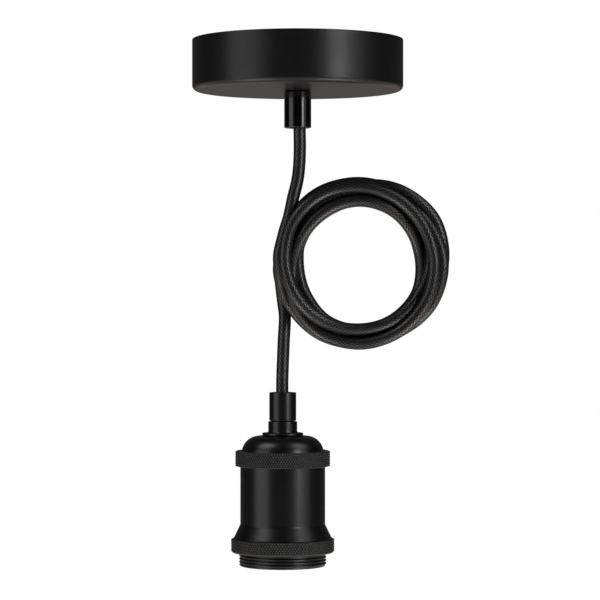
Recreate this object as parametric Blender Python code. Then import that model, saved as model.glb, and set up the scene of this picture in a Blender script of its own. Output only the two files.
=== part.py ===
"""Pendant light: a ceiling cup, a coiled textile cord and a metal lampholder, in metres with +Z up.

The origin is the middle of the ceiling face, and everything hangs below it. The lampholder's axis
stands a little to the left of the cup's, because the cord leans that way.
"""

import math

import bmesh
import bpy
import numpy as np
from mathutils import Vector
from mathutils.geometry import interpolate_bezier

# Clearance between pieces that touch on the real product
GAP = 0.0003

# Numbers of sides of round pieces, from the largest to the smallest
CUP_SIDES = 56
HOLDER_SIDES = 36
INNER_SIDES = 24
SMALL_SIDES = 12
SCREW_SIDES = 10
NUT_SIDES = 6

# Numbers of steps along rounded edges, bends, slot ends and domes
EDGE_STEPS = 2
BEND_STEPS = 4
END_STEPS = 6

# Fineness of smooth routes, the distance at which points merge, and the angle that stays sharp
ROUTE_STEPS = 24
MERGE_DISTANCE = 1e-6
SHARP_ANGLE = 32

# Ceiling cup
CUP_RADIUS = 0.0500
CUP_HEIGHT = 0.0243
CUP_WALL = 0.0010
CUP_EDGE = 0.0018

# Folded ceiling strap, with a slot for a ceiling screw near each ear
STRAP_THICKNESS = 0.0015
STRAP_WIDTH = 0.0160
STRAP_BEND = 0.0010
EAR_DROP = 0.0165
SLOT_WIDTH = 0.0052
SLOT_LENGTH = 0.0100
SLOT_INSET = 0.0095

# Flush screws through the cup's wall into the strap's ears
SIDE_SCREW_DROP = 0.0120
SIDE_SCREW_HEAD = 0.0026
SIDE_SCREW_SHANK = 0.0013
SIDE_SCREW_LENGTH = 0.0056

# Threaded studs, their nuts and washer
STUD_RADIUS = 0.0049
STUD_SPARE = 0.0017
NUT_FLATS = 0.0140
NUT_HEIGHT = 0.0030
WASHER_RADIUS = 0.0085
WASHER_THICKNESS = 0.0010

# Cord and its cores
CORD_RADIUS = 0.00295
CORD_ROOM = 0.00065
CORD_LEAN_ROOM = 0.00135
CORD_SPARE = 0.0030
CORE_RADIUS = 0.0011
CORE_CIRCLE = 0.00145
CORE_RISE = 0.0018
UPPER_CORE_ANGLE = {"live": 60, "neutral": -60, "earth": 180}
LOWER_CORE_ANGLE = {"live": 40, "neutral": 280, "earth": 160}

# Upper cord grip
UPPER_GRIP_RADIUS = 0.0064
UPPER_GRIP_LENGTH = 0.0172
GRIP_EDGE = 0.0003
SET_SCREW_RADIUS = 0.0012
SET_SCREW_SHARE = 0.55

# Coil of cord, as the outer shape of its turns
COIL_X = 0.0298
COIL_Z = -0.1058
COIL_OUTER = 0.0415
COIL_INNER = 0.0272
COIL_DEPTH = 0.0166
COIL_ROUND = 0.0040

# Lampholder: lower grip, neck and flange
HOLDER_X = -0.0071
LOWER_GRIP_TOP = -0.1670
LOWER_GRIP_RADIUS = 0.00638
LOWER_GRIP_LENGTH = 0.0135
LOWER_GRIP_THREAD = 0.0063
NECK_RADIUS = 0.00685
NECK_LENGTH = 0.0054
NECK_FILLET = 0.0009
FLANGE_RADIUS = 0.0097
FLANGE_THICKNESS = 0.0012

# Body with a flare, a threaded end and an inner lip
BODY_RADIUS = 0.0201
BODY_WALL = 0.0015
BODY_BORE = BODY_RADIUS - BODY_WALL
BODY_LENGTH = 0.0514
FLARE_SPREAD = 0.0030
FLARE_HEIGHT = 0.0064
FLARE_CURVE = 1.08
FLARE_SHARES = (0.0, 0.12, 0.3, 0.65, 0.95)
THREAD_LENGTH = 0.01315
THREAD_STEP = 0.00056
THREAD_CREST = BODY_RADIUS + THREAD_STEP
THREAD_DEPTH = 0.0006
THREAD_PITCH = 0.0015
BODY_LIP_REACH = 0.0031
BODY_LIP = 0.0012

# Domed cap and the ring that joins it to the body
CAP_STEP = 0.00055
CAP_RADIUS = BODY_RADIUS - CAP_STEP
CAP_SHOULDER = 0.00805
CAP_HEIGHT = 0.0097
CAP_RIM = 0.0012
CAP_WALL = 0.0012
CAP_RIM_WIDTH = 0.0031
CAP_MOUTH = BODY_RADIUS - CAP_RIM_WIDTH
UPPER_RING_WALL = 0.00244
UPPER_RING_RADIUS = BODY_RADIUS + UPPER_RING_WALL
UPPER_RING_HEIGHT = 0.0073
RING_LIP = 0.0012
RING_EDGE = 0.0003

# Ring on the threaded end, which clamps a shade against the flare
SHADE_RING_WALL = 0.00386
SHADE_RING_RADIUS = THREAD_CREST + SHADE_RING_WALL
SHADE_RING_HEIGHT = 0.00645
SHADE_RING_CHAMFER = 0.0007

# Ceramic insert: wiring cup above, lamp cavity below
INSERT_WALL = 0.0028
INSERT_RADIUS = BODY_BORE - GAP
WIRING_CUP_RADIUS = INSERT_RADIUS - INSERT_WALL
WIRING_CUP_DEPTH = 0.0098
INSERT_FLOOR = 0.0065

# Threaded metal shell for the lamp
LAMP_THREAD_RADIUS = 0.01275
LAMP_THREAD_WAVE = 0.00055
LAMP_THREAD_PITCH = 0.003629
LAMP_THREAD_ROWS = 3
LAMP_SHELL_WALL = 0.0004
LAMP_SHELL_LENGTH = 0.0252
LAMP_SHELL_FLANGE = 0.0005
LAMP_SHELL_HOLE = 0.0060
LAMP_SHELL_PLAIN = 0.0018

# Lamp contact, rivets and terminals in the insert
CONTACT_THICKNESS = 0.0005
CONTACT_WIDTH = 0.0050
CONTACT_REACH = 0.0044
CONTACT_NOSE = 0.0016
CONTACT_DROP = 0.0042
CONTACT_BEND = ((0.7, 0.0), (0.93, 0.1), (1.0, 0.35), (0.9, 0.6))
CONTACT_TAIL = (1.8, 0.12)
MITRE_LIMIT = 0.5
RIVET_RADIUS = 0.0012
RIVET_HEAD = 0.0018
RIVET_HEAD_HEIGHT = 0.0008
RIVET_INSET = 0.00175
RIVET_CIRCLE = (WIRING_CUP_RADIUS + LAMP_SHELL_HOLE) / 2 - RIVET_INSET
PLATE_THICKNESS = 0.0010
PLATE_WIDTH = 0.0056
PLATE_END = 0.0025
LIVE_SCREW_X = 0.0075
NEUTRAL_SCREW_INSET = 0.0090
NEUTRAL_SCREW_X = NEUTRAL_SCREW_INSET - WIRING_CUP_RADIUS
TERMINAL_SCREW_HEAD = 0.0024
TERMINAL_SCREW_HEAD_HEIGHT = 0.0016
TERMINAL_SCREW_LENGTH = 0.0042

# Terminal block under the strap
BLOCK_START = 0.0125
BLOCK_LENGTH = 0.0160
BLOCK_WIDTH = 0.0190
BLOCK_HEIGHT = 0.0110
BLOCK_AXIS_DROP = 0.0052
POLE_SPACING = 0.0100
POLE_TUBE_RADIUS = 0.0022
POLE_TUBE_BORE = 0.0015
POLE_TUBE_LENGTH = 0.0150
CLAMP_SPACING = 0.0080
CLAMP_SHANK = 0.0010
CLAMP_HEAD = 0.0014
CLAMP_HEAD_SINK = 0.0004
BLOCK_SCREW_SHANK = 0.0013
BLOCK_SCREW_HEAD = 0.0023
BLOCK_SCREW_HEAD_HEIGHT = 0.0014

# Earth terminals: a lug on the strap, and a tag under the cap's nut
EARTH_SCREW_X = -0.0200
EARTH_SCREW_SHANK = 0.0017
EARTH_SCREW_HEAD = 0.0034
EARTH_SCREW_HEAD_HEIGHT = 0.0021
LUG_THICKNESS = 0.0008
LUG_RADIUS = 0.0034
LUG_BARREL_RADIUS = 0.0019
LUG_BARREL_LENGTH = 0.0050
TAG_RADIUS = 0.0080
TAG_WIDTH = 0.0040
TAG_REACH = 0.0118
TAG_DROP = 0.0073
TAG_SCREW_SHANK = 0.0010
TAG_SCREW_HEAD = 0.0020
TAG_SCREW_HEAD_HEIGHT = 0.0015

# Slots in screw heads
SLOT_CUT_WIDTH = 0.0006
SLOT_CUT_DEPTH = 0.0005

# Heights worked out from the sizes above, from the ceiling down
CUP_FLOOR = -CUP_HEIGHT + CUP_WALL
WASHER_BOTTOM = CUP_FLOOR + GAP
UPPER_NUT_BOTTOM = WASHER_BOTTOM + WASHER_THICKNESS + GAP
UPPER_STUD_TOP = UPPER_NUT_BOTTOM + NUT_HEIGHT + STUD_SPARE
UPPER_GRIP_TOP = -CUP_HEIGHT - GAP
UPPER_GRIP_BOTTOM = UPPER_GRIP_TOP - UPPER_GRIP_LENGTH
CORD_TOP = UPPER_STUD_TOP + CORD_SPARE
LOWER_GRIP_BOTTOM = LOWER_GRIP_TOP - LOWER_GRIP_LENGTH
NECK_TOP = LOWER_GRIP_BOTTOM - GAP
FLANGE_TOP = NECK_TOP - NECK_LENGTH
FLANGE_BOTTOM = FLANGE_TOP - FLANGE_THICKNESS
CAP_TOP = FLANGE_BOTTOM - GAP
CAP_BOTTOM = CAP_TOP - CAP_HEIGHT
CAP_RIM_TOP = CAP_BOTTOM + CAP_RIM
UPPER_RING_TOP = CAP_RIM_TOP + GAP + RING_LIP
TAG_TOP = CAP_TOP - CAP_WALL - GAP
CAP_NUT_TOP = TAG_TOP - LUG_THICKNESS - GAP
NECK_STUD_BOTTOM = CAP_NUT_TOP - NUT_HEIGHT - STUD_SPARE
CORD_BOTTOM = NECK_STUD_BOTTOM - CORD_SPARE
BODY_TOP = CAP_BOTTOM - GAP
BODY_BOTTOM = BODY_TOP - BODY_LENGTH
FLARE_BOTTOM = BODY_BOTTOM + THREAD_LENGTH
SHADE_RING_TOP = FLARE_BOTTOM - GAP
INSERT_TOP = BODY_TOP
INSERT_BOTTOM = BODY_BOTTOM + BODY_LIP + GAP
FLOOR_TOP = INSERT_TOP - WIRING_CUP_DEPTH
FLOOR_BOTTOM = FLOOR_TOP - INSERT_FLOOR
SHELL_TOP = FLOOR_BOTTOM - GAP
PLATE_TOP = FLOOR_TOP + GAP + PLATE_THICKNESS
UNDER_STRAP = -STRAP_THICKNESS - GAP
LUG_BARREL_Z = UNDER_STRAP - LUG_THICKNESS / 2 - LUG_BARREL_RADIUS
BLOCK_AXIS = UNDER_STRAP - BLOCK_AXIS_DROP
BLOCK_BOTTOM = UNDER_STRAP - BLOCK_HEIGHT
TAG_BOTTOM = TAG_TOP - TAG_DROP

# Places along X that follow from the sizes above
BLOCK_MIDDLE = BLOCK_START + BLOCK_LENGTH / 2
LUG_BARREL_START = EARTH_SCREW_X + EARTH_SCREW_HEAD + GAP
LUG_BARREL_END = LUG_BARREL_START + LUG_BARREL_LENGTH

# Radii that follow from the pieces inside them
CORD_BORE = CORD_RADIUS + CORD_ROOM
STUD_HOLE = STUD_RADIUS + GAP
CUP_INNER = CUP_RADIUS - CUP_WALL
EAR_X = math.sqrt((CUP_INNER * math.cos(math.pi / CUP_SIDES)) ** 2 - (STRAP_WIDTH / 2) ** 2) - GAP
SHELL_OUTER = LAMP_THREAD_RADIUS + LAMP_SHELL_WALL
LAMP_CAVITY_RADIUS = (SHELL_OUTER + LAMP_THREAD_WAVE + GAP) / math.cos(math.pi / INNER_SIDES)

# Directions of turned pieces that don't stand upright
ALONG_X = (0.0, math.pi / 2, 0.0)
ALONG_MINUS_X = (0.0, -math.pi / 2, 0.0)
ALONG_Y = (-math.pi / 2, 0.0, 0.0)
DOWNWARDS = (math.pi, 0.0, 0.0)
UPRIGHT = (0.0, 0.0, 0.0)

# Route of the cord above the coil and below it, through points chosen by hand
UPPER_ROUTE = [
    (0.0000, 0.0000, CORD_TOP),
    (0.0001, 0.0000, -CUP_HEIGHT),
    (0.0006, 0.0000, -0.0340),
    (0.0009, 0.0000, -0.0430),
    (0.0010, -0.0003, -0.0520),
    (0.0006, -0.0010, -0.0610),
    (-0.0004, -0.0021, -0.0680),
    (-0.0021, -0.0034, -0.0748),
]
LOWER_ROUTE = [
    (-0.0061, 0.0044, -0.1314),
    (-0.0066, 0.0030, -0.1420),
    (-0.0070, 0.0014, -0.1520),
    (-0.0073, 0.0003, -0.1610),
    (-0.0073, 0.0000, -0.1700),
    (HOLDER_X, 0.0000, -0.1800),
    (HOLDER_X, 0.0000, -0.1900),
    (HOLDER_X, 0.0000, CORD_BOTTOM),
]

# Bends of the cores, chosen by hand and measured from the terminal, lug or cord end that each names
POLE_BENDS = [(0.0032, 0.0028, -0.0010), (0.0072, 0.0045, 0.0)]
LUG_BENDS = [(-0.0046, 0.0, -0.0020), (-0.0080, 0.0, -0.0002)]
LIVE_BENDS = [(-0.0035, 0.0044, 0.0012), (-0.0008, 0.0062, 0.0002), (0.0, 0.0045, 0.0)]
NEUTRAL_BENDS = [(0.0031, 0.0058, 0.0010), (0.0006, 0.0052, 0.0002), (0.0, 0.0041, 0.0)]
TAG_BENDS = [(-0.0050, 0.0002, -0.0034), (-0.0086, 0.0, -0.0012)]
TAG_RUN = 0.0020


def clear_scene():
    for thing in list(bpy.data.objects):
        bpy.data.objects.remove(thing)


def finish(name, colour, roughness, metallic):
    """A material of one colour, roughness and metallic value."""
    look = bpy.data.materials.new(name)
    look.use_nodes = True
    surface = look.node_tree.nodes["Principled BSDF"]
    surface.inputs["Base Color"].default_value = (*colour, 1.0)
    surface.inputs["Roughness"].default_value = roughness
    surface.inputs["Metallic"].default_value = metallic
    look.diffuse_color = (*colour, 1.0)
    return look


def finishes():
    """Every finish of the product, by name."""
    return {
        "powder_coat": finish("powder_coat", (0.013, 0.013, 0.013), 0.42, 0.0),
        "satin_black": finish("satin_black", (0.016, 0.016, 0.016), 0.34, 0.6),
        "knurled_black": finish("knurled_black", (0.020, 0.019, 0.018), 0.55, 0.4),
        "gloss_plastic": finish("gloss_plastic", (0.008, 0.008, 0.009), 0.14, 0.0),
        "black_textile": finish("black_textile", (0.022, 0.021, 0.023), 0.85, 0.0),
        "zinc_steel": finish("zinc_steel", (0.55, 0.56, 0.57), 0.38, 1.0),
        "black_screw": finish("black_screw", (0.02, 0.02, 0.02), 0.35, 0.8),
        "brass": finish("brass", (0.72, 0.52, 0.22), 0.30, 1.0),
        "nickel": finish("nickel", (0.62, 0.60, 0.55), 0.25, 1.0),
        "nylon": finish("nylon", (0.78, 0.77, 0.72), 0.45, 0.0),
        "ceramic": finish("ceramic", (0.80, 0.79, 0.75), 0.25, 0.0),
        "live_brown": finish("live_brown", (0.20, 0.08, 0.03), 0.40, 0.0),
        "neutral_blue": finish("neutral_blue", (0.03, 0.12, 0.45), 0.40, 0.0),
        "earth_green": finish("earth_green", (0.10, 0.38, 0.06), 0.40, 0.0),
    }


def placed(name, shape, look, location=(0.0, 0.0, 0.0), rotation=UPRIGHT):
    """A named object from a bmesh, with its faces pointing out and its round sides shaded smooth."""
    bmesh.ops.recalc_face_normals(shape, faces=shape.faces)
    mesh = bpy.data.meshes.new(name)
    shape.to_mesh(mesh)
    shape.free()
    mesh.shade_smooth()
    mesh.set_sharp_from_angle(angle=math.radians(SHARP_ANGLE))
    if look:
        mesh.materials.append(look)
    piece = bpy.data.objects.new(name, mesh)
    piece.location = location
    piece.rotation_euler = rotation
    bpy.context.scene.collection.objects.link(piece)
    return piece


def spun(outline, sides):
    """A bmesh turned about its Z axis from (radius, height) points, closed at the axis or as a ring."""
    shape = bmesh.new()
    points = [shape.verts.new((radius, 0.0, height)) for radius, height in outline]
    lines = [shape.edges.new(pair) for pair in zip(points, points[1:])]
    if outline[0][0] > 0:
        lines.append(shape.edges.new((points[-1], points[0])))
    bmesh.ops.spin(
        shape,
        geom=points + lines,
        cent=(0.0, 0.0, 0.0),
        axis=(0.0, 0.0, 1.0),
        angle=2 * math.pi,
        steps=sides,
        use_merge=True,
    )
    bmesh.ops.remove_doubles(shape, verts=shape.verts, dist=MERGE_DISTANCE)
    return shape


def turned(name, outline, look, sides, location=(0.0, 0.0, 0.0), rotation=UPRIGHT):
    return placed(name, spun(outline, sides), look, location, rotation)


def box(name, low, high, look):
    """A box between two corners."""
    shape = bmesh.new()
    bmesh.ops.create_cube(shape, size=1.0)
    size = [b - a for a, b in zip(low, high)]
    middle = [(a + b) / 2 for a, b in zip(low, high)]
    bmesh.ops.scale(shape, vec=size, verts=shape.verts)
    return placed(name, shape, look, middle)


def extruded(name, outline, depth, look, location=(0.0, 0.0, 0.0)):
    """An outline of (x, z) points, extruded along Y and centred on it."""
    shape = bmesh.new()
    points = [shape.verts.new((x, -depth / 2, z)) for x, z in outline]
    face = shape.faces.new(points)
    grown = bmesh.ops.extrude_face_region(shape, geom=[face])["geom"]
    moved = [part for part in grown if isinstance(part, bmesh.types.BMVert)]
    bmesh.ops.translate(shape, vec=(0.0, depth, 0.0), verts=moved)
    return placed(name, shape, look, location)


def as_tool(piece):
    piece.hide_render = True
    piece.display_type = "WIRE"
    return piece


def combine(target, tool, operation="DIFFERENCE"):
    step = target.modifiers.new(tool.name, "BOOLEAN")
    step.operation = operation
    step.solver = "EXACT"
    step.object = as_tool(tool)


def rod(name, radius, start, end, look, sides, location=(0.0, 0.0, 0.0), rotation=UPRIGHT):
    """A plain cylinder from one height to another along its own axis."""
    outline = [(0.0, start), (radius, start), (radius, end), (0.0, end)]
    return turned(name, outline, look, sides, location, rotation)


def drill(target, radius, start, end, location, rotation=UPRIGHT, sides=SMALL_SIDES):
    """A round hole in target, from one height to another along the hole's own axis."""
    name = f"{target.name}_hole_{len(target.modifiers)}"
    combine(target, rod(name, radius, start, end, None, sides, location, rotation))


def slot_across(target, width, depth, reach, top, location, rotation=UPRIGHT):
    """A screwdriver slot in the head of a turned screw, whose outer face is at height top."""
    shape = bmesh.new()
    bmesh.ops.create_cube(shape, size=1.0)
    bmesh.ops.scale(shape, vec=(width, 2 * reach, 2 * depth), verts=shape.verts)
    bmesh.ops.translate(shape, vec=(0.0, 0.0, top), verts=shape.verts)
    combine(target, placed(f"{target.name}_slot", shape, None, location, rotation))


def screw(name, look, location, rotation, head, head_height, shank, length):
    """A slotted screw whose head stands out from location along its own axis."""
    outline = [
        (0.0, -length),
        (shank, -length),
        (shank, 0.0),
        (head, 0.0),
        (head, head_height),
        (0.0, head_height),
    ]
    made = turned(name, outline, look, SCREW_SIDES, location, rotation)
    slot_across(made, SLOT_CUT_WIDTH, SLOT_CUT_DEPTH, 2 * head, head_height, location, rotation)
    return made


def arc(centre, radius, start, end, steps):
    """Points on an arc in (radius, height) or (x, z), with its angles in degrees."""
    angles = [math.radians(start + (end - start) * step / steps) for step in range(steps + 1)]
    return [(centre[0] + radius * math.cos(a), centre[1] + radius * math.sin(a)) for a in angles]


def smooth(route, spacing):
    """Evenly spaced points on a smooth curve through the points of a route."""
    knots = [Vector(point) for point in route]
    ends = [2 * knots[0] - knots[1], *knots, 2 * knots[-1] - knots[-2]]
    fine = []
    for before, first, second, after in zip(ends, ends[1:], ends[2:], ends[3:]):
        leave = first + (second - before) / 6
        arrive = second - (after - first) / 6
        fine += interpolate_bezier(first, leave, arrive, second, ROUTE_STEPS)[:-1]
    fine = np.array([*fine, knots[-1]])
    along = np.concatenate([[0.0], np.cumsum(np.linalg.norm(np.diff(fine, axis=0), axis=1))])
    count = max(3, round(along[-1] / spacing) + 1)
    places = np.linspace(0.0, along[-1], count)
    return np.stack([np.interp(places, along, fine[:, i]) for i in range(3)], axis=1)


def tube(name, route, radius, look, spacing, resolution=2):
    """A round tube with closed ends along a smooth route."""
    curve = bpy.data.curves.new(name, "CURVE")
    curve.dimensions = "3D"
    curve.bevel_depth = radius
    curve.bevel_resolution = resolution
    curve.use_fill_caps = True
    points = smooth(route, spacing)
    line = curve.splines.new("POLY")
    line.points.add(len(points) - 1)
    for point, place in zip(line.points, points):
        point.co = (*place, 1.0)
    curve.materials.append(look)
    piece = bpy.data.objects.new(name, curve)
    bpy.context.scene.collection.objects.link(piece)
    return piece


def nut(name, look, bottom, location_x):
    """A six-sided nut round a stud."""
    corner = NUT_FLATS / math.sqrt(3)
    outline = [(0.0, 0.0), (corner, 0.0), (corner, NUT_HEIGHT), (0.0, NUT_HEIGHT)]
    made = turned(name, outline, look, NUT_SIDES, (location_x, 0.0, bottom))
    drill(made, STUD_HOLE, -GAP, NUT_HEIGHT + GAP, (location_x, 0.0, bottom), sides=INNER_SIDES)


def set_screw(name, grip, look, centre_x, height, grip_radius):
    """A slotted set screw in a hole at the back of a cord grip, flush with its side."""
    at = (centre_x, 0.0, height)
    drill(grip, SET_SCREW_RADIUS + GAP, CORD_RADIUS, 2 * grip_radius, at, ALONG_Y)
    outer = grip_radius - GAP
    made = rod(name, SET_SCREW_RADIUS, CORD_RADIUS + GAP, outer, look, SCREW_SIDES, at, ALONG_Y)
    slot_across(made, SLOT_CUT_WIDTH, SLOT_CUT_DEPTH, 2 * SET_SCREW_RADIUS, outer, at, ALONG_Y)


def make_canopy(looks):
    """Pressed cup with a rounded bottom edge, a centre hole and a countersunk hole at each side."""
    outer = arc((CUP_RADIUS - CUP_EDGE, -CUP_HEIGHT + CUP_EDGE), CUP_EDGE, -90, 0, BEND_STEPS)
    inner_edge = max(CUP_EDGE - CUP_WALL, GAP)
    inner = arc((CUP_INNER - inner_edge, CUP_FLOOR + inner_edge), inner_edge, 0, -90, EDGE_STEPS)
    outline = [
        (STUD_HOLE, -CUP_HEIGHT),
        *outer,
        (CUP_RADIUS, 0.0),
        (CUP_INNER, 0.0),
        *inner,
        (STUD_HOLE, CUP_FLOOR),
    ]
    canopy = turned("canopy", outline, looks["powder_coat"], CUP_SIDES)
    for side, turn in (("left", ALONG_MINUS_X), ("right", ALONG_X)):
        at = side_screw_place(side)
        combine(canopy, turned(f"canopy_hole_{side}", countersunk(GAP), None, SMALL_SIDES, at, turn))


def countersunk(room):
    """A countersunk screw from its tip to its flush face, or the hole for it with room all round."""
    cone = SIDE_SCREW_HEAD - SIDE_SCREW_SHANK
    return [
        (0.0, -SIDE_SCREW_LENGTH),
        (SIDE_SCREW_SHANK + room, -SIDE_SCREW_LENGTH),
        (SIDE_SCREW_SHANK + room, -cone),
        (SIDE_SCREW_HEAD + 2 * room, room),
        (0.0, room),
    ]


def side_screw_place(side):
    """The outer face of a side screw's head, just inside the cup's outer side."""
    reach = math.sqrt(CUP_RADIUS**2 - SIDE_SCREW_HEAD**2) * math.cos(math.pi / CUP_SIDES)
    return (reach if side == "right" else -reach, 0.0, -SIDE_SCREW_DROP)


def make_side_screws(looks):
    for side, turn in (("left", ALONG_MINUS_X), ("right", ALONG_X)):
        at = side_screw_place(side)
        look = looks["black_screw"]
        made = turned(f"canopy_screw_{side}", countersunk(0.0), look, SMALL_SIDES, at, turn)
        slot_across(made, SLOT_CUT_WIDTH, SLOT_CUT_DEPTH, 2 * SIDE_SCREW_HEAD, 0.0, at, turn)


def strap_outline():
    """The folded strap seen from the front: outer side from left to right, then inner side back."""
    bend_out = STRAP_BEND + STRAP_THICKNESS
    centre_x = EAR_X - bend_out
    right = arc((centre_x, -bend_out), bend_out, 90, 0, BEND_STEPS)
    left = [(-x, z) for x, z in reversed(right)]
    inner_right = arc((centre_x, -bend_out), STRAP_BEND, 0, 90, BEND_STEPS)
    inner_left = [(-x, z) for x, z in reversed(inner_right)]
    inner_x = EAR_X - STRAP_THICKNESS
    return [
        (-EAR_X, -EAR_DROP),
        *left,
        *right,
        (EAR_X, -EAR_DROP),
        (inner_x, -EAR_DROP),
        *inner_right,
        *inner_left,
        (-inner_x, -EAR_DROP),
    ]


def make_ceiling_bracket(looks):
    """Folded strap with a slot near each ear and holes for the screws that it carries."""
    strap = extruded("ceiling_bracket", strap_outline(), STRAP_WIDTH, looks["zinc_steel"])
    for side in (-1, 1):
        x = side * (EAR_X - SLOT_INSET)
        half = (SLOT_LENGTH - SLOT_WIDTH) / 2
        ends = [
            *arc((half, 0.0), SLOT_WIDTH / 2, -90, 90, END_STEPS),
            *arc((-half, 0.0), SLOT_WIDTH / 2, 90, 270, END_STEPS),
        ]
        tool = extruded(f"strap_slot_{side}", ends, 4 * STRAP_THICKNESS, None, (x, 0.0, 0.0))
        tool.rotation_euler = (math.pi / 2, 0.0, 0.0)
        combine(strap, tool)
        turn = ALONG_X if side > 0 else ALONG_MINUS_X
        at = (side * EAR_X, 0.0, -SIDE_SCREW_DROP)
        drill(strap, SIDE_SCREW_SHANK + GAP, -2 * STRAP_THICKNESS, STRAP_THICKNESS, at, turn)
    for x, shank in ((BLOCK_MIDDLE, BLOCK_SCREW_SHANK), (EARTH_SCREW_X, EARTH_SCREW_SHANK)):
        drill(strap, shank + GAP, -2 * STRAP_THICKNESS, STRAP_THICKNESS, (x, 0.0, 0.0))


def make_upper_grip(looks):
    """Plastic grip and its threaded stud in one piece, with the nut and washer that hold it."""
    bore = CORD_RADIUS + CORD_LEAN_ROOM
    outline = [
        (CORD_BORE, UPPER_STUD_TOP),
        (STUD_RADIUS, UPPER_STUD_TOP),
        (STUD_RADIUS, UPPER_GRIP_TOP),
        (UPPER_GRIP_RADIUS - GRIP_EDGE, UPPER_GRIP_TOP),
        (UPPER_GRIP_RADIUS, UPPER_GRIP_TOP - GRIP_EDGE),
        (UPPER_GRIP_RADIUS, UPPER_GRIP_BOTTOM + GRIP_EDGE),
        (UPPER_GRIP_RADIUS - GRIP_EDGE, UPPER_GRIP_BOTTOM),
        (bore, UPPER_GRIP_BOTTOM),
        (bore, UPPER_GRIP_TOP),
        (CORD_BORE, UPPER_GRIP_TOP + CORD_LEAN_ROOM),
    ]
    grip = turned("upper_grip", outline, looks["gloss_plastic"], INNER_SIDES)
    height = UPPER_GRIP_TOP - SET_SCREW_SHARE * UPPER_GRIP_LENGTH
    set_screw("upper_grip_screw", grip, looks["gloss_plastic"], 0.0, height, UPPER_GRIP_RADIUS)
    ring = [
        (STUD_HOLE, WASHER_BOTTOM),
        (WASHER_RADIUS, WASHER_BOTTOM),
        (WASHER_RADIUS, WASHER_BOTTOM + WASHER_THICKNESS),
        (STUD_HOLE, WASHER_BOTTOM + WASHER_THICKNESS),
    ]
    turned("upper_washer", ring, looks["zinc_steel"], INNER_SIDES)
    nut("upper_locknut", looks["zinc_steel"], UPPER_NUT_BOTTOM, 0.0)


def make_terminal_block(looks):
    """Two-pole block under the strap: a moulded body with a brass tube and two clamp screws a pole."""
    low = (BLOCK_START, -BLOCK_WIDTH / 2, BLOCK_BOTTOM)
    high = (BLOCK_START + BLOCK_LENGTH, BLOCK_WIDTH / 2, UNDER_STRAP)
    block = box("terminal_block", low, high, looks["nylon"])
    middle = (BLOCK_MIDDLE, 0.0, UNDER_STRAP)
    drill(block, BLOCK_SCREW_SHANK + GAP, -2 * BLOCK_HEIGHT, BLOCK_HEIGHT, middle)
    head_seat = BLOCK_BOTTOM - GAP
    screw(
        "terminal_block_screw",
        looks["zinc_steel"],
        (BLOCK_MIDDLE, 0.0, head_seat),
        DOWNWARDS,
        BLOCK_SCREW_HEAD,
        BLOCK_SCREW_HEAD_HEIGHT,
        BLOCK_SCREW_SHANK,
        -GAP - head_seat,
    )
    for pole, side in (("live", 1), ("neutral", -1)):
        make_pole(looks, block, pole, side * POLE_SPACING / 2)


def make_pole(looks, block, pole, y):
    """One brass tube in the block, with its two clamp screws reached from below."""
    axis = (BLOCK_MIDDLE, y, BLOCK_AXIS)
    half = POLE_TUBE_LENGTH / 2
    drill(block, POLE_TUBE_RADIUS + GAP, -BLOCK_LENGTH, BLOCK_LENGTH, axis, ALONG_X)
    outline = [
        (POLE_TUBE_BORE, -half),
        (POLE_TUBE_RADIUS, -half),
        (POLE_TUBE_RADIUS, half),
        (POLE_TUBE_BORE, half),
    ]
    barrel = turned(f"terminal_tube_{pole}", outline, looks["brass"], SMALL_SIDES, axis, ALONG_X)
    seat = BLOCK_AXIS - POLE_TUBE_RADIUS - GAP
    head_height = seat - (BLOCK_BOTTOM + CLAMP_HEAD_SINK)
    for end, side in (("in", -1), ("out", 1)):
        x = BLOCK_MIDDLE + side * CLAMP_SPACING / 2
        drill(block, CLAMP_HEAD + GAP, BLOCK_BOTTOM - GAP, BLOCK_AXIS, (x, y, 0.0))
        drill(barrel, CLAMP_SHANK + GAP, seat, BLOCK_AXIS, (x, y, 0.0))
        screw(
            f"clamp_screw_{pole}_{end}",
            looks["brass"],
            (x, y, seat),
            DOWNWARDS,
            CLAMP_HEAD,
            head_height,
            CLAMP_SHANK,
            BLOCK_AXIS - CORE_RADIUS - GAP - seat,
        )


def make_ceiling_earth(looks):
    """Crimped lug and screw under the strap."""
    at = (EARTH_SCREW_X, 0.0, 0.0)
    bottom = UNDER_STRAP - LUG_THICKNESS
    lug = rod("ceiling_earth_lug", LUG_RADIUS, bottom, UNDER_STRAP, looks["nickel"], INNER_SIDES, at)
    axis = (0.0, 0.0, LUG_BARREL_Z)
    ends = (LUG_BARREL_START, LUG_BARREL_END)
    barrel = rod("lug_barrel", LUG_BARREL_RADIUS, *ends, None, SMALL_SIDES, axis, ALONG_X)
    tail_low = (EARTH_SCREW_X, -LUG_BARREL_RADIUS / 2, bottom)
    tail_high = (LUG_BARREL_START + LUG_BARREL_RADIUS, LUG_BARREL_RADIUS / 2, UNDER_STRAP)
    combine(lug, box("lug_tail", tail_low, tail_high, None), "UNION")
    combine(lug, barrel, "UNION")
    drill(lug, CORE_RADIUS + GAP, LUG_BARREL_START + LUG_THICKNESS, LUG_BARREL_END + GAP, axis, ALONG_X)
    drill(lug, EARTH_SCREW_SHANK + GAP, 4 * UNDER_STRAP, GAP, at)
    seat = bottom - GAP
    screw(
        "ceiling_earth_screw",
        looks["brass"],
        (EARTH_SCREW_X, 0.0, seat),
        DOWNWARDS,
        EARTH_SCREW_HEAD,
        EARTH_SCREW_HEAD_HEIGHT,
        EARTH_SCREW_SHANK,
        -GAP - seat,
    )


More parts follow.
